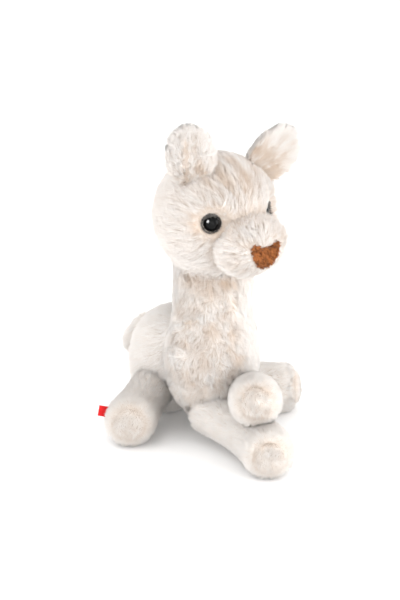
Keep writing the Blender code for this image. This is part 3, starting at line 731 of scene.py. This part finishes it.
# %% Where strands stand
def scatter(skin, density, rng):
    """Even random places on a skin: equal steps through its summed triangle areas, each shaken a little."""
    mesh = skin.data
    mesh.calc_loop_triangles()
    corners = np.empty(len(mesh.loop_triangles) * 3, np.int32)
    mesh.loop_triangles.foreach_get("vertices", corners)
    corners = corners.reshape(-1, 3)
    points, normals = vertex_array(mesh), vertex_array(mesh, "normals")
    a, b, c = (points[corners[:, k]] for k in range(3))
    area = np.cumsum(np.linalg.norm(np.cross(b - a, c - a), axis=1) / 2)
    count = int(area[-1] * density)
    chosen = np.searchsorted(area, (np.arange(count) + rng.random(count)) * area[-1] / count)
    chosen = corners[np.minimum(chosen, len(corners) - 1)]
    root, split = np.sqrt(rng.random(count)), rng.random(count)
    weight = np.stack([1 - root, root * (1 - split), root * split], axis=1)[:, :, None]
    return (points[chosen] * weight).sum(axis=1), unit((normals[chosen] * weight).sum(axis=1))


def waves(points, size, seed):
    """Smooth noise of about -1 to 1: the sum of ten plane waves in random directions, size metres long."""
    rng = np.random.default_rng(seed)
    ways = unit(rng.normal(size=(10, 3))) * (2 * math.pi / size) * rng.uniform(0.6, 1.5, (10, 1))
    return np.sin(points @ ways.T + rng.uniform(0, 2 * math.pi, 10)).sum(axis=1) / 3.0


def nearest(points, centres, chunk=4096):
    """The index of the centre nearest to each point."""
    found = []
    for start in range(0, len(points), chunk):
        part = points[start : start + chunk]
        found.append(((centres**2).sum(axis=1)[None] - 2 * part @ centres.T).argmin(axis=1))
    return np.concatenate(found)


def along_skin(ways, normals):
    """Directions laid down on the skin."""
    return unit(ways - (ways * normals).sum(axis=1, keepdims=True) * normals)


def swept(ways, normals, angle):
    """Directions on the skin, turned about its normal by an angle at each root."""
    angle = angle[:, None]
    return np.cos(angle) * ways + np.sin(angle) * np.cross(normals, ways)


# %% The strands' mesh
def strand_mesh(name, root, middle, tip, normal, width, fibre, bends=True, bristle=0.75):
    """Blades from root to tip: a triangle of the width at the root, one 0.72 as wide in the middle, a point.

    A short blade doesn't bend, and has no middle ring. Light falls on soft pile more as on the skin under it
    than as on bristles, so a blade is shaded with the skin's normal plus bristle times its own.
    """
    count = len(root)
    first, second = unit((middle if bends else tip) - root), unit(tip - middle)
    side = unit(np.cross(first, np.where(np.abs(first[:, 2:]) < 0.9, [[0, 0, 1.0]], [[1.0, 0, 0]])))
    lift = np.cross(first, side)
    turn = np.arange(3) * 2 * math.pi / 3
    ring = (np.cos(turn)[None, :, None] * side[:, None] + np.sin(turn)[None, :, None] * lift[:, None]) / 2
    bend = unit(first + second)[:, None]
    ring_up = ring - (ring * bend).sum(axis=2, keepdims=True) * bend
    low = root[:, None] + ring * width[:, None, None]
    high = middle[:, None] + ring_up * width[:, None, None] * 0.72
    points = np.concatenate([low, high, tip[:, None]] if bends else [low, tip[:, None]], axis=1)
    points[:, :, 2] = np.maximum(points[:, :, 2], 0.0002)
    each, last = points.shape[1], points.shape[1] - 4
    quads = [[k, (k + 1) % 3, 3 + (k + 1) % 3, 3 + k] for k in range(3)] if bends else []
    spikes = [[last + k, last + (k + 1) % 3, last + 3] for k in range(3)]
    faces = quads + spikes + [[2, 1, 0]]
    corners = each * np.arange(count)[:, None] + np.array(sum(faces, []))
    sizes = np.tile([len(face) for face in faces], count)
    mesh = bpy.data.meshes.new(name)
    mesh.vertices.add(count * each)
    mesh.vertices.foreach_set("co", points.astype(np.float32).ravel())
    mesh.loops.add(corners.size)
    mesh.loops.foreach_set("vertex_index", corners.astype(np.int32).ravel())
    mesh.polygons.add(len(sizes))
    mesh.polygons.foreach_set("loop_start", (np.cumsum(sizes) - sizes).astype(np.int32))
    mesh.update(calc_edges=True)
    along = np.tile([0, 0, 0, 0.5, 0.5, 0.5, 1.0] if bends else [0, 0, 0, 1.0], (count, 1))
    values = np.stack([along, *(np.repeat(fibre[:, k : k + 1], each, axis=1) for k in range(2))], axis=2)
    mesh.attributes.new("fibre", "FLOAT_VECTOR", "POINT").data.foreach_set(
        "vector", values.astype(np.float32).ravel()
    )
    own = np.concatenate([ring, ring_up, second[:, None]] if bends else [ring, second[:, None]], axis=1)
    shaded = unit(normal[:, None] + bristle * unit(own))
    mesh.normals_split_custom_set_from_vertices(shaded.reshape(-1, 3).tolist())
    unfold(mesh, count, bends)
    return mesh


def unfold(mesh, count, bends):
    """Gives each strand a cell of its own in a UV map: three columns, their points above them, and the root's
    triangle below."""
    across = int(math.ceil(math.sqrt(count)))
    cell = np.stack([np.arange(count) % across, np.arange(count) // across], axis=1)[:, None]
    quads = [[(k, 0.2), (k + 1, 0.2), (k + 1, 0.6), (k, 0.6)] for k in range(3)] if bends else []
    neck = 0.6 if bends else 0.2
    spikes = [[(k, neck), (k + 1, neck), (k + 0.5, 1.0)] for k in range(3)]
    flat = np.array(sum(quads, []) + sum(spikes, []) + [(1, 0.0), (2, 0.0), (1.5, 0.15)])
    flat = 0.08 + 0.84 * flat / [3, 1]
    layer = mesh.uv_layers.new(name="OFBake")
    layer.data.foreach_set("uv", ((cell + flat[None]) / across).astype(np.float32).ravel())


# %% [markdown]
# One function then grows the fur of a region. It asks the region for the way its fur is combed, how flat it
# lies, how deep it is and how tan, with painted shade in its creases and hollows, leaves out the roots that
# another piece covers, and gives every tuft a little lean, height and shade of its own.

# %% Growing a region
fur_counts = {}
STRAY = 0.05  # the share of strands that stand up out of their tuft, and fuzz the outline


def grow(name, skin, per_mm2, comb, pile, seed, hidden=(), keep=None, width=0.00032, tuft=9, gather=0.45,
         jitter=0.30, finish=None, bends=True, bristle=0.75):
    """Grows strands on a skin. comb gives (direction, lay, warmth) at the roots, and pile their depth.

    A strand's length is the pile's depth, divided by how much of its length its lean leaves standing. A few
    strays stand up out of their tuft.
    """
    rng = np.random.default_rng(seed)
    root, normal = scatter(skin, per_mm2 * 1e6, rng)
    stays = np.ones(len(root), bool)
    for depth, allowed in hidden:
        stays &= depth(root) < allowed
    if keep is not None:
        stays &= keep(root)
    root, normal = root[stays], normal[stays]
    count = len(root)
    way, lay, tan_and_shade = comb(root, normal)
    centres = rng.choice(count, max(count // tuft, 1), replace=False)
    mine = nearest(root, root[centres])
    tuft_noise = rng.normal(size=(len(centres), 3))[mine]
    loose = jitter(root) if callable(jitter) else np.full(count, jitter)
    way = along_skin(way + loose[:, None] * tuft_noise + 0.12 * rng.normal(size=(count, 3)), normal)
    lay = np.clip(lay + 0.3 * loose * rng.normal(size=len(centres))[mine], 0.05, 0.97)[:, None]
    stray = rng.random(count)[:, None] < STRAY
    lay = np.where(stray, 0.55 * lay, lay)
    tuft_height = 0.45 * loose * rng.uniform(-1, 1, len(centres))[mine]
    tall = (1.08 + tuft_height + rng.uniform(-0.1, 0.1, count))[:, None]
    rise = unit(normal * (1 - 0.55 * lay) + way * 0.55 * lay)
    bent = unit(normal * (1 - lay) + way * lay)
    stands = ((0.45 * rise + 0.55 * bent) * normal).sum(axis=1, keepdims=True)
    length = (pile(root)[:, None] * tall + 0.0003) / np.maximum(stands, 0.42)
    middle = root + 0.45 * length * rise
    tip = middle + 0.55 * length * bent
    pull = gather * rng.uniform(0.5, 1.0, count)[:, None] * ~stray
    middle += (middle[centres][mine] - middle) * pull * 0.35
    tip += (tip[centres][mine] + 0.18 * (tip - tip[centres][mine]) - tip) * pull
    shade = 0.6 * rng.random(len(centres))[mine] + 0.4 * rng.random(count)
    fibre = np.stack([shade, np.clip(tan_and_shade, 0, 1)], axis=1)
    wide = width * rng.uniform(0.75, 1.25, count)
    mesh = strand_mesh(name, root, middle, tip, normal, wide, fibre, bends, bristle)
    piece = show(name, mesh, finish or fur)
    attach(piece, "root")
    fur_counts[name] = count
    return piece


# %% [markdown]
# ### Body
# The chest and belly are brushed up: short swirls and open partings that show the roots, painted tan for the
# shade deep in the pile. That panel lies on the toy's right front. The neck's other sides, the back and the
# rump are smooth, combed down and backwards.

# %% Body fur
def turned(points):
    """The angle round the neck's axis, 0 straight ahead and positive towards the toy's left."""
    x, y = (points - AXIS)[:, :2].T
    return np.arctan2(x, -y)


def chest(points):
    """1 on the brushed panel, fading to 0 round its edge."""
    off = turned(points) + math.radians(42)
    height = (points - AXIS)[:, 2]
    to_left, to_right = smooth_step(off, 0.70, 1.05), smooth_step(-off, 0.75, 1.60)
    return (1 - to_left) * (1 - to_right) * (1 - smooth_step(height, 0.150, 0.170))


def body_comb(points, normals):
    """Down on the neck and belly, back and down on the rump, swirled on the brushed panel."""
    _, y, z = (points - AXIS).T
    backward = smooth_step(y, 0.015, 0.045)[:, None]
    way = along_skin(np.array([[0, 0, -1.0]]) + backward * np.array([[0, 1.3, 0.3]]), normals)
    brushed = chest(points)
    swirl = waves(points, 0.013, 3) * (0.14 + 0.95 * brushed)
    # Painted shade under the jaw: the front of the neck just below the head is made tan.
    jaw_shade = bell(z, 0.150, 0.010) * (1 - smooth_step(np.abs(turned(points) + 0.5), 0.6, 1.2))
    lay = 0.80 - 0.14 * brushed
    warm = 0.03 + 0.24 * brushed * (1 + 0.9 * waves(points, 0.016, 5))
    warm = warm + 0.62 * jaw_shade * (1 + 0.5 * waves(points, 0.009, 7))
    return swept(way, normals, swirl), lay, warm


def ruffled(points):
    """How unevenly the body's tufts lie: most on the brushed panel."""
    return 0.10 + 0.20 * chest(points)


def throat_pile(points):
    """A pile's depth, and up to 2 mm more under the jaw."""
    return BODY_PILE + 0.0020 * smooth_step(points[:, 2], 0.128, 0.148)


def in_front(points):
    """Whether points lie before the line down the neck's sides, where the body's front fur ends."""
    return (points - AXIS)[:, 1] < 0.004


THROAT_FOOT, NAPE_FOOT = 0.095, 0.085  # the heights where the neck's fur ends, in front and behind
leg_depths = [(in_leg(leg), LEG_PILE) for leg in LEGS]
body_hidden = [(in_head, 0.0060), (in_muzzle, 0.004), *leg_depths]
grow("throat_fur", SKINS["body"], 1.8, body_comb, throat_pile, 11, body_hidden,
     keep=lambda p: in_front(p) & (p[:, 2] >= THROAT_FOOT), gather=0.40, jitter=ruffled)
grow("belly_fur", SKINS["body"], 1.8, body_comb, even_pile(BODY_PILE), 12, body_hidden,
     keep=lambda p: in_front(p) & (p[:, 2] < THROAT_FOOT), gather=0.40, jitter=ruffled)
grow("nape_fur", SKINS["body"], 1.6, body_comb, even_pile(BODY_PILE), 13, body_hidden,
     keep=lambda p: ~in_front(p) & (p[:, 2] >= NAPE_FOOT), gather=0.34, jitter=ruffled, width=0.00036)
grow("rump_fur", SKINS["body"], 1.15, body_comb, even_pile(BODY_PILE), 14, body_hidden,
     keep=lambda p: ~in_front(p) & (p[:, 2] < NAPE_FOOT), gather=0.18, jitter=ruffled, width=0.00038)


def tail_comb(points, normals):
    """Down the tail."""
    down = np.tile(-TAIL_SLOPE[:, 2], (len(points), 1))
    return along_skin(down, normals), np.full(len(points), 0.70), np.full(len(points), 0.05)


grow("tail_fur", SKINS["tail"], 1.8, tail_comb, even_pile(TAIL_PILE), 15, [(in_body, BODY_PILE)],
     width=0.00038, gather=0.35, jitter=0.12)
print("body fur:", fur_counts)

# %% [markdown]
# ### Head
# Fur grows away from the nose: up over the forehead, back along the cheeks and down under the jaw. Round each
# eye it stands out like rays, and inside them a rim of short dark strands is painted shade in the eye's
# hollow, with a few crossing the eye's rim. The crease where the head meets the muzzle and the ring round
# each hollow are painted tan for shade. The forehead between the ears is the darkest, tan part of the toy.

# %% Head and muzzle fur
def ray_from(points, place):
    """Directions away from a place."""
    return unit(points - place)


def eye_rays(points, reach):
    """Directions away from the nearer eye, and their weight, which fades out over reach."""
    right = np.linalg.norm(points - EYE_PLACES[0], axis=1)
    left = np.linalg.norm(points - EYE_PLACES[1], axis=1)
    place = np.where((right < left)[:, None], EYE_PLACES[0], EYE_PLACES[1])
    return ray_from(points, place), np.exp(-((np.maximum(np.minimum(right, left) - 0.009, 0) / reach) ** 2))


def streaks(points, source, width, seed):
    """Noise drawn out along lines that leave a place: waves over the angle round it, slow in distance."""
    offset = points - source
    far = np.linalg.norm(offset, axis=1)
    angle = np.arctan2(offset[:, 0], offset[:, 2])
    return waves(np.stack([0.040 * np.cos(angle), 0.040 * np.sin(angle), 0.2 * far], axis=1), width, seed)


def head_comb(points, normals):
    """Away from the nose, down at the back, and away from each eye close to it."""
    source = AXIS + HEAD_CORE + (0.0, -0.055, -0.012)
    behind = smooth_step((points - AXIS)[:, 1], -0.010, 0.030)[:, None]
    way = ray_from(points, source) + behind * np.array([[0, 0, -1.2]])
    rays, weight = eye_rays(points, 0.011)
    way = along_skin(way + 2.2 * weight[:, None] * rays, normals)
    brow = np.exp(-(((normals - unit(np.array([0.0, -0.52, 0.84]))) ** 2).sum(axis=1) / 0.26))
    by_eye = 1 - smooth_step(eye_distance(points), 0.008, 0.012)
    lay = 0.74 - 0.08 * brow - 0.35 * by_eye - 0.40 * by_neck(points)
    streaked = streaks(points, source, 0.006, 8)
    # Painted shade in a ring round each eye's hollow, streaked by noise.
    eye_ring_shade = bell(eye_distance(points), 0.0120, 0.0045) * (1 + 1.2 * waves(points, 0.004, 25))
    warm = 0.17 + 0.06 * streaked + 0.60 * brow * (1 + 0.55 * streaked) + 0.24 * eye_ring_shade
    # Painted shade in the crease where the head meets the muzzle.
    warm = warm + 0.35 * by_muzzle(points)
    return swept(way, normals, 0.22 * waves(points, 0.018, 6)), lay, warm


def hollow_shade_comb(points, normals):
    """Nearly upright on the wall of the eye's hollow, whose shade these dark strands paint, so that a few
    hairs cross the eye's rim.
    """
    rays = eye_rays(points, 0.011)[0]
    warm = 0.30 + 0.30 * waves(points, 0.003, 27)
    return along_skin(rays, normals), np.full(len(points), 0.22), warm


def muzzle_comb(points, normals):
    """Away from the nose, and less flat towards the crease where the muzzle meets the head."""
    rays, weight = eye_rays(points, 0.008)
    way = along_skin(ray_from(points, NOSE_PLACE + (0, 0.004, 0)) + 1.5 * weight[:, None] * rays, normals)
    top = smooth_step((points - AXIS - MUZZLE_CORE)[:, 2], 0.004, 0.020)
    warm = 0.23 + 0.16 * top + 0.14 * waves(points, 0.012, 9) + 0.08 * waves(points, 0.005, 28)
    lay = 0.30 + 0.42 * smooth_step(-in_head(points), 0.000, 0.012)
    return swept(way, normals, 0.35 * waves(points, 0.014, 10)), lay, warm


RIM_LEAN = -0.08  # how much narrower the eye's rim of dark strands, painted shade, is towards the middle of the face
head_hidden = [(in_body, 0.0060), (in_muzzle, 0.0045), (lambda p: 0.0080 - eye_distance(p, RIM_LEAN), 0.0)]
grow("face_fur", SKINS["head"], 1.95, head_comb, head_pile, 21, head_hidden,
     keep=lambda p: (p - AXIS)[:, 1] < -0.010, tuft=11, gather=0.38, jitter=0.16, width=0.00029)
# Dark strands on the wall of each eye's hollow paint its shade.
grow("lash_fur", SKINS["head"], 8.0, hollow_shade_comb, even_pile(0.0034), 26,
     keep=lambda p: (eye_distance(p) > 0.0076) & (eye_distance(p, RIM_LEAN) < 0.0089) & (p[:, 1] < 0), tuft=4,
     gather=0.3, jitter=0.35, width=0.00026, finish=hollow_shade_pile)
grow("crown_fur", SKINS["head"], 1.4, head_comb, head_pile, 22, head_hidden,
     keep=lambda p: (p - AXIS)[:, 1] >= -0.010, gather=0.35, jitter=0.12, width=0.00038)
grow("muzzle_fur", SKINS["muzzle"], 2.6, muzzle_comb, muzzle_pile, 23,
     [(in_head, 0.0055), (lambda p: 0.96 - nose_distance(p), 0.0)], gather=0.45, jitter=0.27, width=0.00032)

# %% [markdown]
# ### Ears
# An ear is two layers of shorter plush. Outside, the pile lies towards the tip. Inside, it spreads from the
# light middle of the cup. Painted shade makes the groove on either side of the middle tan, and the cup low
# down, most of all in the left ear.

# %% Ear fur
EAR_CUP_SHADE = {"ear_right": 0.25, "ear_left": 1.60}  # how much painted shade lies low in the cup, most of all in the left one


def ear_pile(name):
    """Short pile, and shorter still round the tip."""

    def depth(points):
        return 0.0034 - 0.0014 * smooth_step(in_ear_frame(name, points)[:, 2], 0.044, 0.056)

    return depth


def ear_comb(name):
    """Towards the tip, and outwards from the middle of the cup."""

    def comb(points, normals):
        local = in_ear_frame(name, points)
        facing_in = -(normals @ EARS[name][:3, 1])
        cup = smooth_step(facing_in, 0.0, 0.6)
        outwards = np.clip(local[:, :1] / 0.010, -1, 1) * EARS[name][None, :3, 0] * (0.45 * cup[:, None])
        way = along_skin(EARS[name][None, :3, 2] + outwards, normals)
        # Painted shade: tan in the grooves beside the cup's middle and low down in the cup.
        groove_shade = bell(np.abs(local[:, 0]), 0.0048, 0.0030) * smooth_step(-local[:, 2], -0.052, -0.036)
        low = 1 - smooth_step(local[:, 2], 0.008, 0.038)
        mottled = 1 + 0.35 * waves(points, 0.009, 15) + 0.5 * waves(points, 0.004, 16)
        warm = 0.06 + cup * (0.62 * groove_shade + EAR_CUP_SHADE[name] * low) * mottled
        return swept(way, normals, 0.30 * waves(points, 0.012, 14)), np.full(len(points), 0.86), warm

    return comb


for seed, ear in enumerate(EARS):
    grow(f"{ear}_fur", SKINS[ear], 3.2, ear_comb(ear), ear_pile(ear), 31 + seed, [(in_head, 0.0060)],
         gather=0.24, jitter=0.16, width=0.00034, bristle=0.5)

# %% [markdown]
# ### Legs and soles
# The legs are made of a plush with a pile of about 3 mm. It opens away from the sole, over the toe, and lies
# back along the leg. The soles' pile is shorter still and a little tan, and the seam's groove round each sole
# is painted darker with shade, on the sole's rim and on the leg beside it.

# %% Leg and sole fur
def leg_comb(name):
    """Away from the sole on the toe, and back along the path. The left hind leg's lies towards its foot."""
    path, _ = leg_path(name)
    path = path + AXIS
    ahead = unit(np.gradient(path, axis=0))
    seat = sole_frame(name)
    stroked = 1.0 if name == "hindleg_left" else -1.0

    def comb(points, normals):
        way = ahead[nearest(points, path)]
        beside = (points - seat[:3, 3]) @ seat[:3, :3]
        radial = unit(beside[:, :1] * seat[None, :3, 0] + beside[:, 1:2] * seat[None, :3, 1])
        toe = smooth_step(normals @ seat[:3, 2], 0.25, 0.75)[:, None]
        way = along_skin(radial * toe + stroked * way * (1 - toe), normals)
        rim = bell(np.linalg.norm(beside[:, :2], axis=1), SOLE_RADIUS + 0.0004, 0.0016) * toe[:, 0]
        # Painted shade in the groove of the sole's seam, on the leg's side of it.
        warm = 0.05 + 0.08 * waves(points, 0.015, 17) + 0.40 * rim
        return swept(way, normals, 0.40 * waves(points, 0.010, 18)), 0.74 - 0.06 * rim, warm

    return comb


def in_sole(name):
    """How far inside a sole's edge points lie, on the toe's side."""
    seat = sole_frame(name)

    def depth(points):
        beside = (points - seat[:3, 3]) @ seat[:3, :3]
        inside = SOLE_RADIUS - np.linalg.norm(beside[:, :2], axis=1)
        return np.where(beside[:, 2] > -0.004, inside, -1.0)

    return depth


def sole_comb(name):
    """Down the sole, in loose swirls, and stood up round its rim."""
    seat = sole_frame(name)

    def comb(points, normals):
        beside = (points - seat[:3, 3]) @ seat[:3, :3]
        way = along_skin(-np.tile(seat[:3, 1], (len(points), 1)), normals)
        rim = smooth_step(np.linalg.norm(beside[:, :2], axis=1), 0.0095, 0.0130)
        # Painted shade round the sole's rim, in the seam's groove; the rest is the pad's own tan and mottle.
        warm = 0.36 + 0.18 * waves(points, 0.007, 19) + 0.35 * rim
        return swept(way, normals, 0.8 * waves(points, 0.012, 20)), 0.74 - 0.25 * rim, warm

    return comb


for seed, leg in enumerate(LEGS):
    hidden = [(in_body, BODY_PILE), (in_sole(leg), 0.0)]
    if leg == "foreleg_left":
        hidden.append((in_leg("foreleg_right"), LEG_PILE))
    grow(f"{leg}_fur", SKINS[leg], 2.4, leg_comb(leg), even_pile(LEG_PILE), 41 + seed, hidden, gather=0.35,
         tuft=7, width=0.00042, finish=short_fur, jitter=0.27, bends=False, bristle=0.8)
    grow(f"sole_{leg}_fur", SOLES[leg], 5.0, sole_comb(leg), even_pile(0.0022), 51 + seed,
         [(lambda p, seat=sole_frame(leg): 0.001 - ((p - seat[:3, 3]) @ seat[:3, :3])[:, 2], 0.0)],
         tuft=8, gather=0.4, width=0.00032, finish=short_fur, bends=False, bristle=0.8)
print("fur:", fur_counts, "strands:", sum(fur_counts.values()))

# %% [markdown]
# ### Nose
# The nose is a shield of short brown pile, sewn flat on the front of the muzzle. Its solid has the right
# outline, so a copy of it, with its loose triangles merged and its edges rounded, is the pad, and brown
# strands grow out of that.

# %% Nose
def merged_copy(node):
    """A copy of a solid's mesh with the doubled points of its loose triangles merged."""
    bm = bmesh.new()
    bm.from_mesh(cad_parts[node].data)
    bmesh.ops.remove_doubles(bm, verts=bm.verts, dist=1e-6)
    mesh = bpy.data.meshes.new(node)
    bm.to_mesh(mesh)
    bm.free()
    return mesh


nose_pad = show("nose_skin", merged_copy("nose"), nose_backing)
NOSE_SHARE = np.array([0.90, 1.0, 0.90])  # what of its width and height the muzzle's fur leaves uncovered
nose_points = (vertex_array(nose_pad.data) - NOSE_PLACE) * NOSE_SHARE + NOSE_PLACE
nose_pad.data.vertices.foreach_set("co", nose_points.astype(np.float32).ravel())
settled(nose_pad, "REMESH", mode="VOXEL", voxel_size=0.0006)
stuffed(nose_pad, "nose")


def nose_comb(points, normals):
    """Down from the nose's top middle, and in from its edge."""
    inwards = smooth_step(nose_distance(points), 0.6, 0.95)[:, None] * ray_from(NOSE_PLACE, points)
    downwards = ray_from(points, NOSE_PLACE + (0, 0, 0.010)) + np.array([[0, 0, -0.4]])
    way = along_skin(downwards + 3 * inwards, normals)
    warm = 0.40 + 0.60 * waves(points, 0.0045, 23)
    return swept(way, normals, 0.9 * waves(points, 0.007, 24)), np.full(len(points), 0.50), warm


grow("nose_fur", nose_pad, 5.5, nose_comb, even_pile(0.0018), 61,
     keep=lambda p: p[:, 1] < NOSE_PLACE[1] + 0.012, tuft=14, gather=0.8, width=0.00040, finish=nose_fur,
     bends=False, jitter=0.5, bristle=1.6)

# %% [markdown]
# ## Eyes, washers and label
# These keep their solids. The eyes are black moulded plastic, polished on the dome and matt on the rim where
# the pile rubs it. The washers that lock them inside the head are plain moulded plastic. The label is a red
# ribbon with fine ribs across the weave, and a little worn.

# %% Plastic and ribbon
def eye_finish(name, place):
    """Black, with a dark grey ring near the rim."""
    finish = Finish(name)
    ends = {0: finish.place(), 1: place}
    gap = finish.node("ShaderNodeVectorMath", {"operation": "DISTANCE"}, ends, output=1)
    ring = finish.clipped(gap, 0.0060, 0.0074)
    scuffs = finish.clipped(finish.noise(0.0012), 0.45, 0.75)
    colour = finish.mix(ring, rgb(0.003, 0.003, 0.003), rgb(0.035, 0.032, 0.032))
    polish = 0.04 + 0.05 * scuffs + 0.3 * ring
    return finish.surface(base_color=colour, roughness=polish, specular_ior_level=0.13)


def coat(node, finish):
    """Gives a solid that stays in sight its finish."""
    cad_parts[node].data.materials.clear()
    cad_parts[node].data.materials.append(finish)


washer = Finish("washer_plastic")
speckle = washer.clipped(washer.noise(0.0015), 0.4, 0.7)
washer_colour = washer.mix(speckle, rgb(0.80, 0.79, 0.76), rgb(0.88, 0.87, 0.85))
washer_finish = washer.surface(base_color=washer_colour, roughness=0.4 + 0.15 * speckle)
for word, place in zip(("right", "left"), EYE_PLACES):
    out = unit(place - AXIS - HEAD_CORE)
    coat(f"eye_{word}", eye_finish(f"eye_gloss_{word}", place + out * 0.003))
    coat(f"eye_washer_{word}", washer_finish)

ribbon = Finish("red_ribbon")
weave = {"Vector": ribbon.place(), "Scale": 900.0, "Distortion": 0.6}
ribs = ribbon.node("ShaderNodeTexWave", {"bands_direction": "DIAGONAL"}, weave)
wear = ribbon.clipped(ribbon.noise(0.003), 0.35, 0.7)
ribbon_colour = ribbon.mix(wear, rgb(0.52, 0.006, 0.008), rgb(0.70, 0.012, 0.014))
ribbon_finish = ribbon.surface(
    base_color=ribbon.mix(0.15 * ribs, ribbon_colour, rgb(0.80, 0.04, 0.04)), roughness=0.50 + 0.2 * wear,
    normal=ribbon.bump(ribs, 0.0001, 0.5), specular_ior_level=0.10
)
coat("label", ribbon_finish)

paving = Finish("studio_floor")
paving_colour = paving.mix(paving.noise(0.8), rgb(0.95, 0.95, 0.95), rgb(0.97, 0.97, 0.97))
floor.data.materials.append(paving.surface(base_color=paving_colour, roughness=0.9))
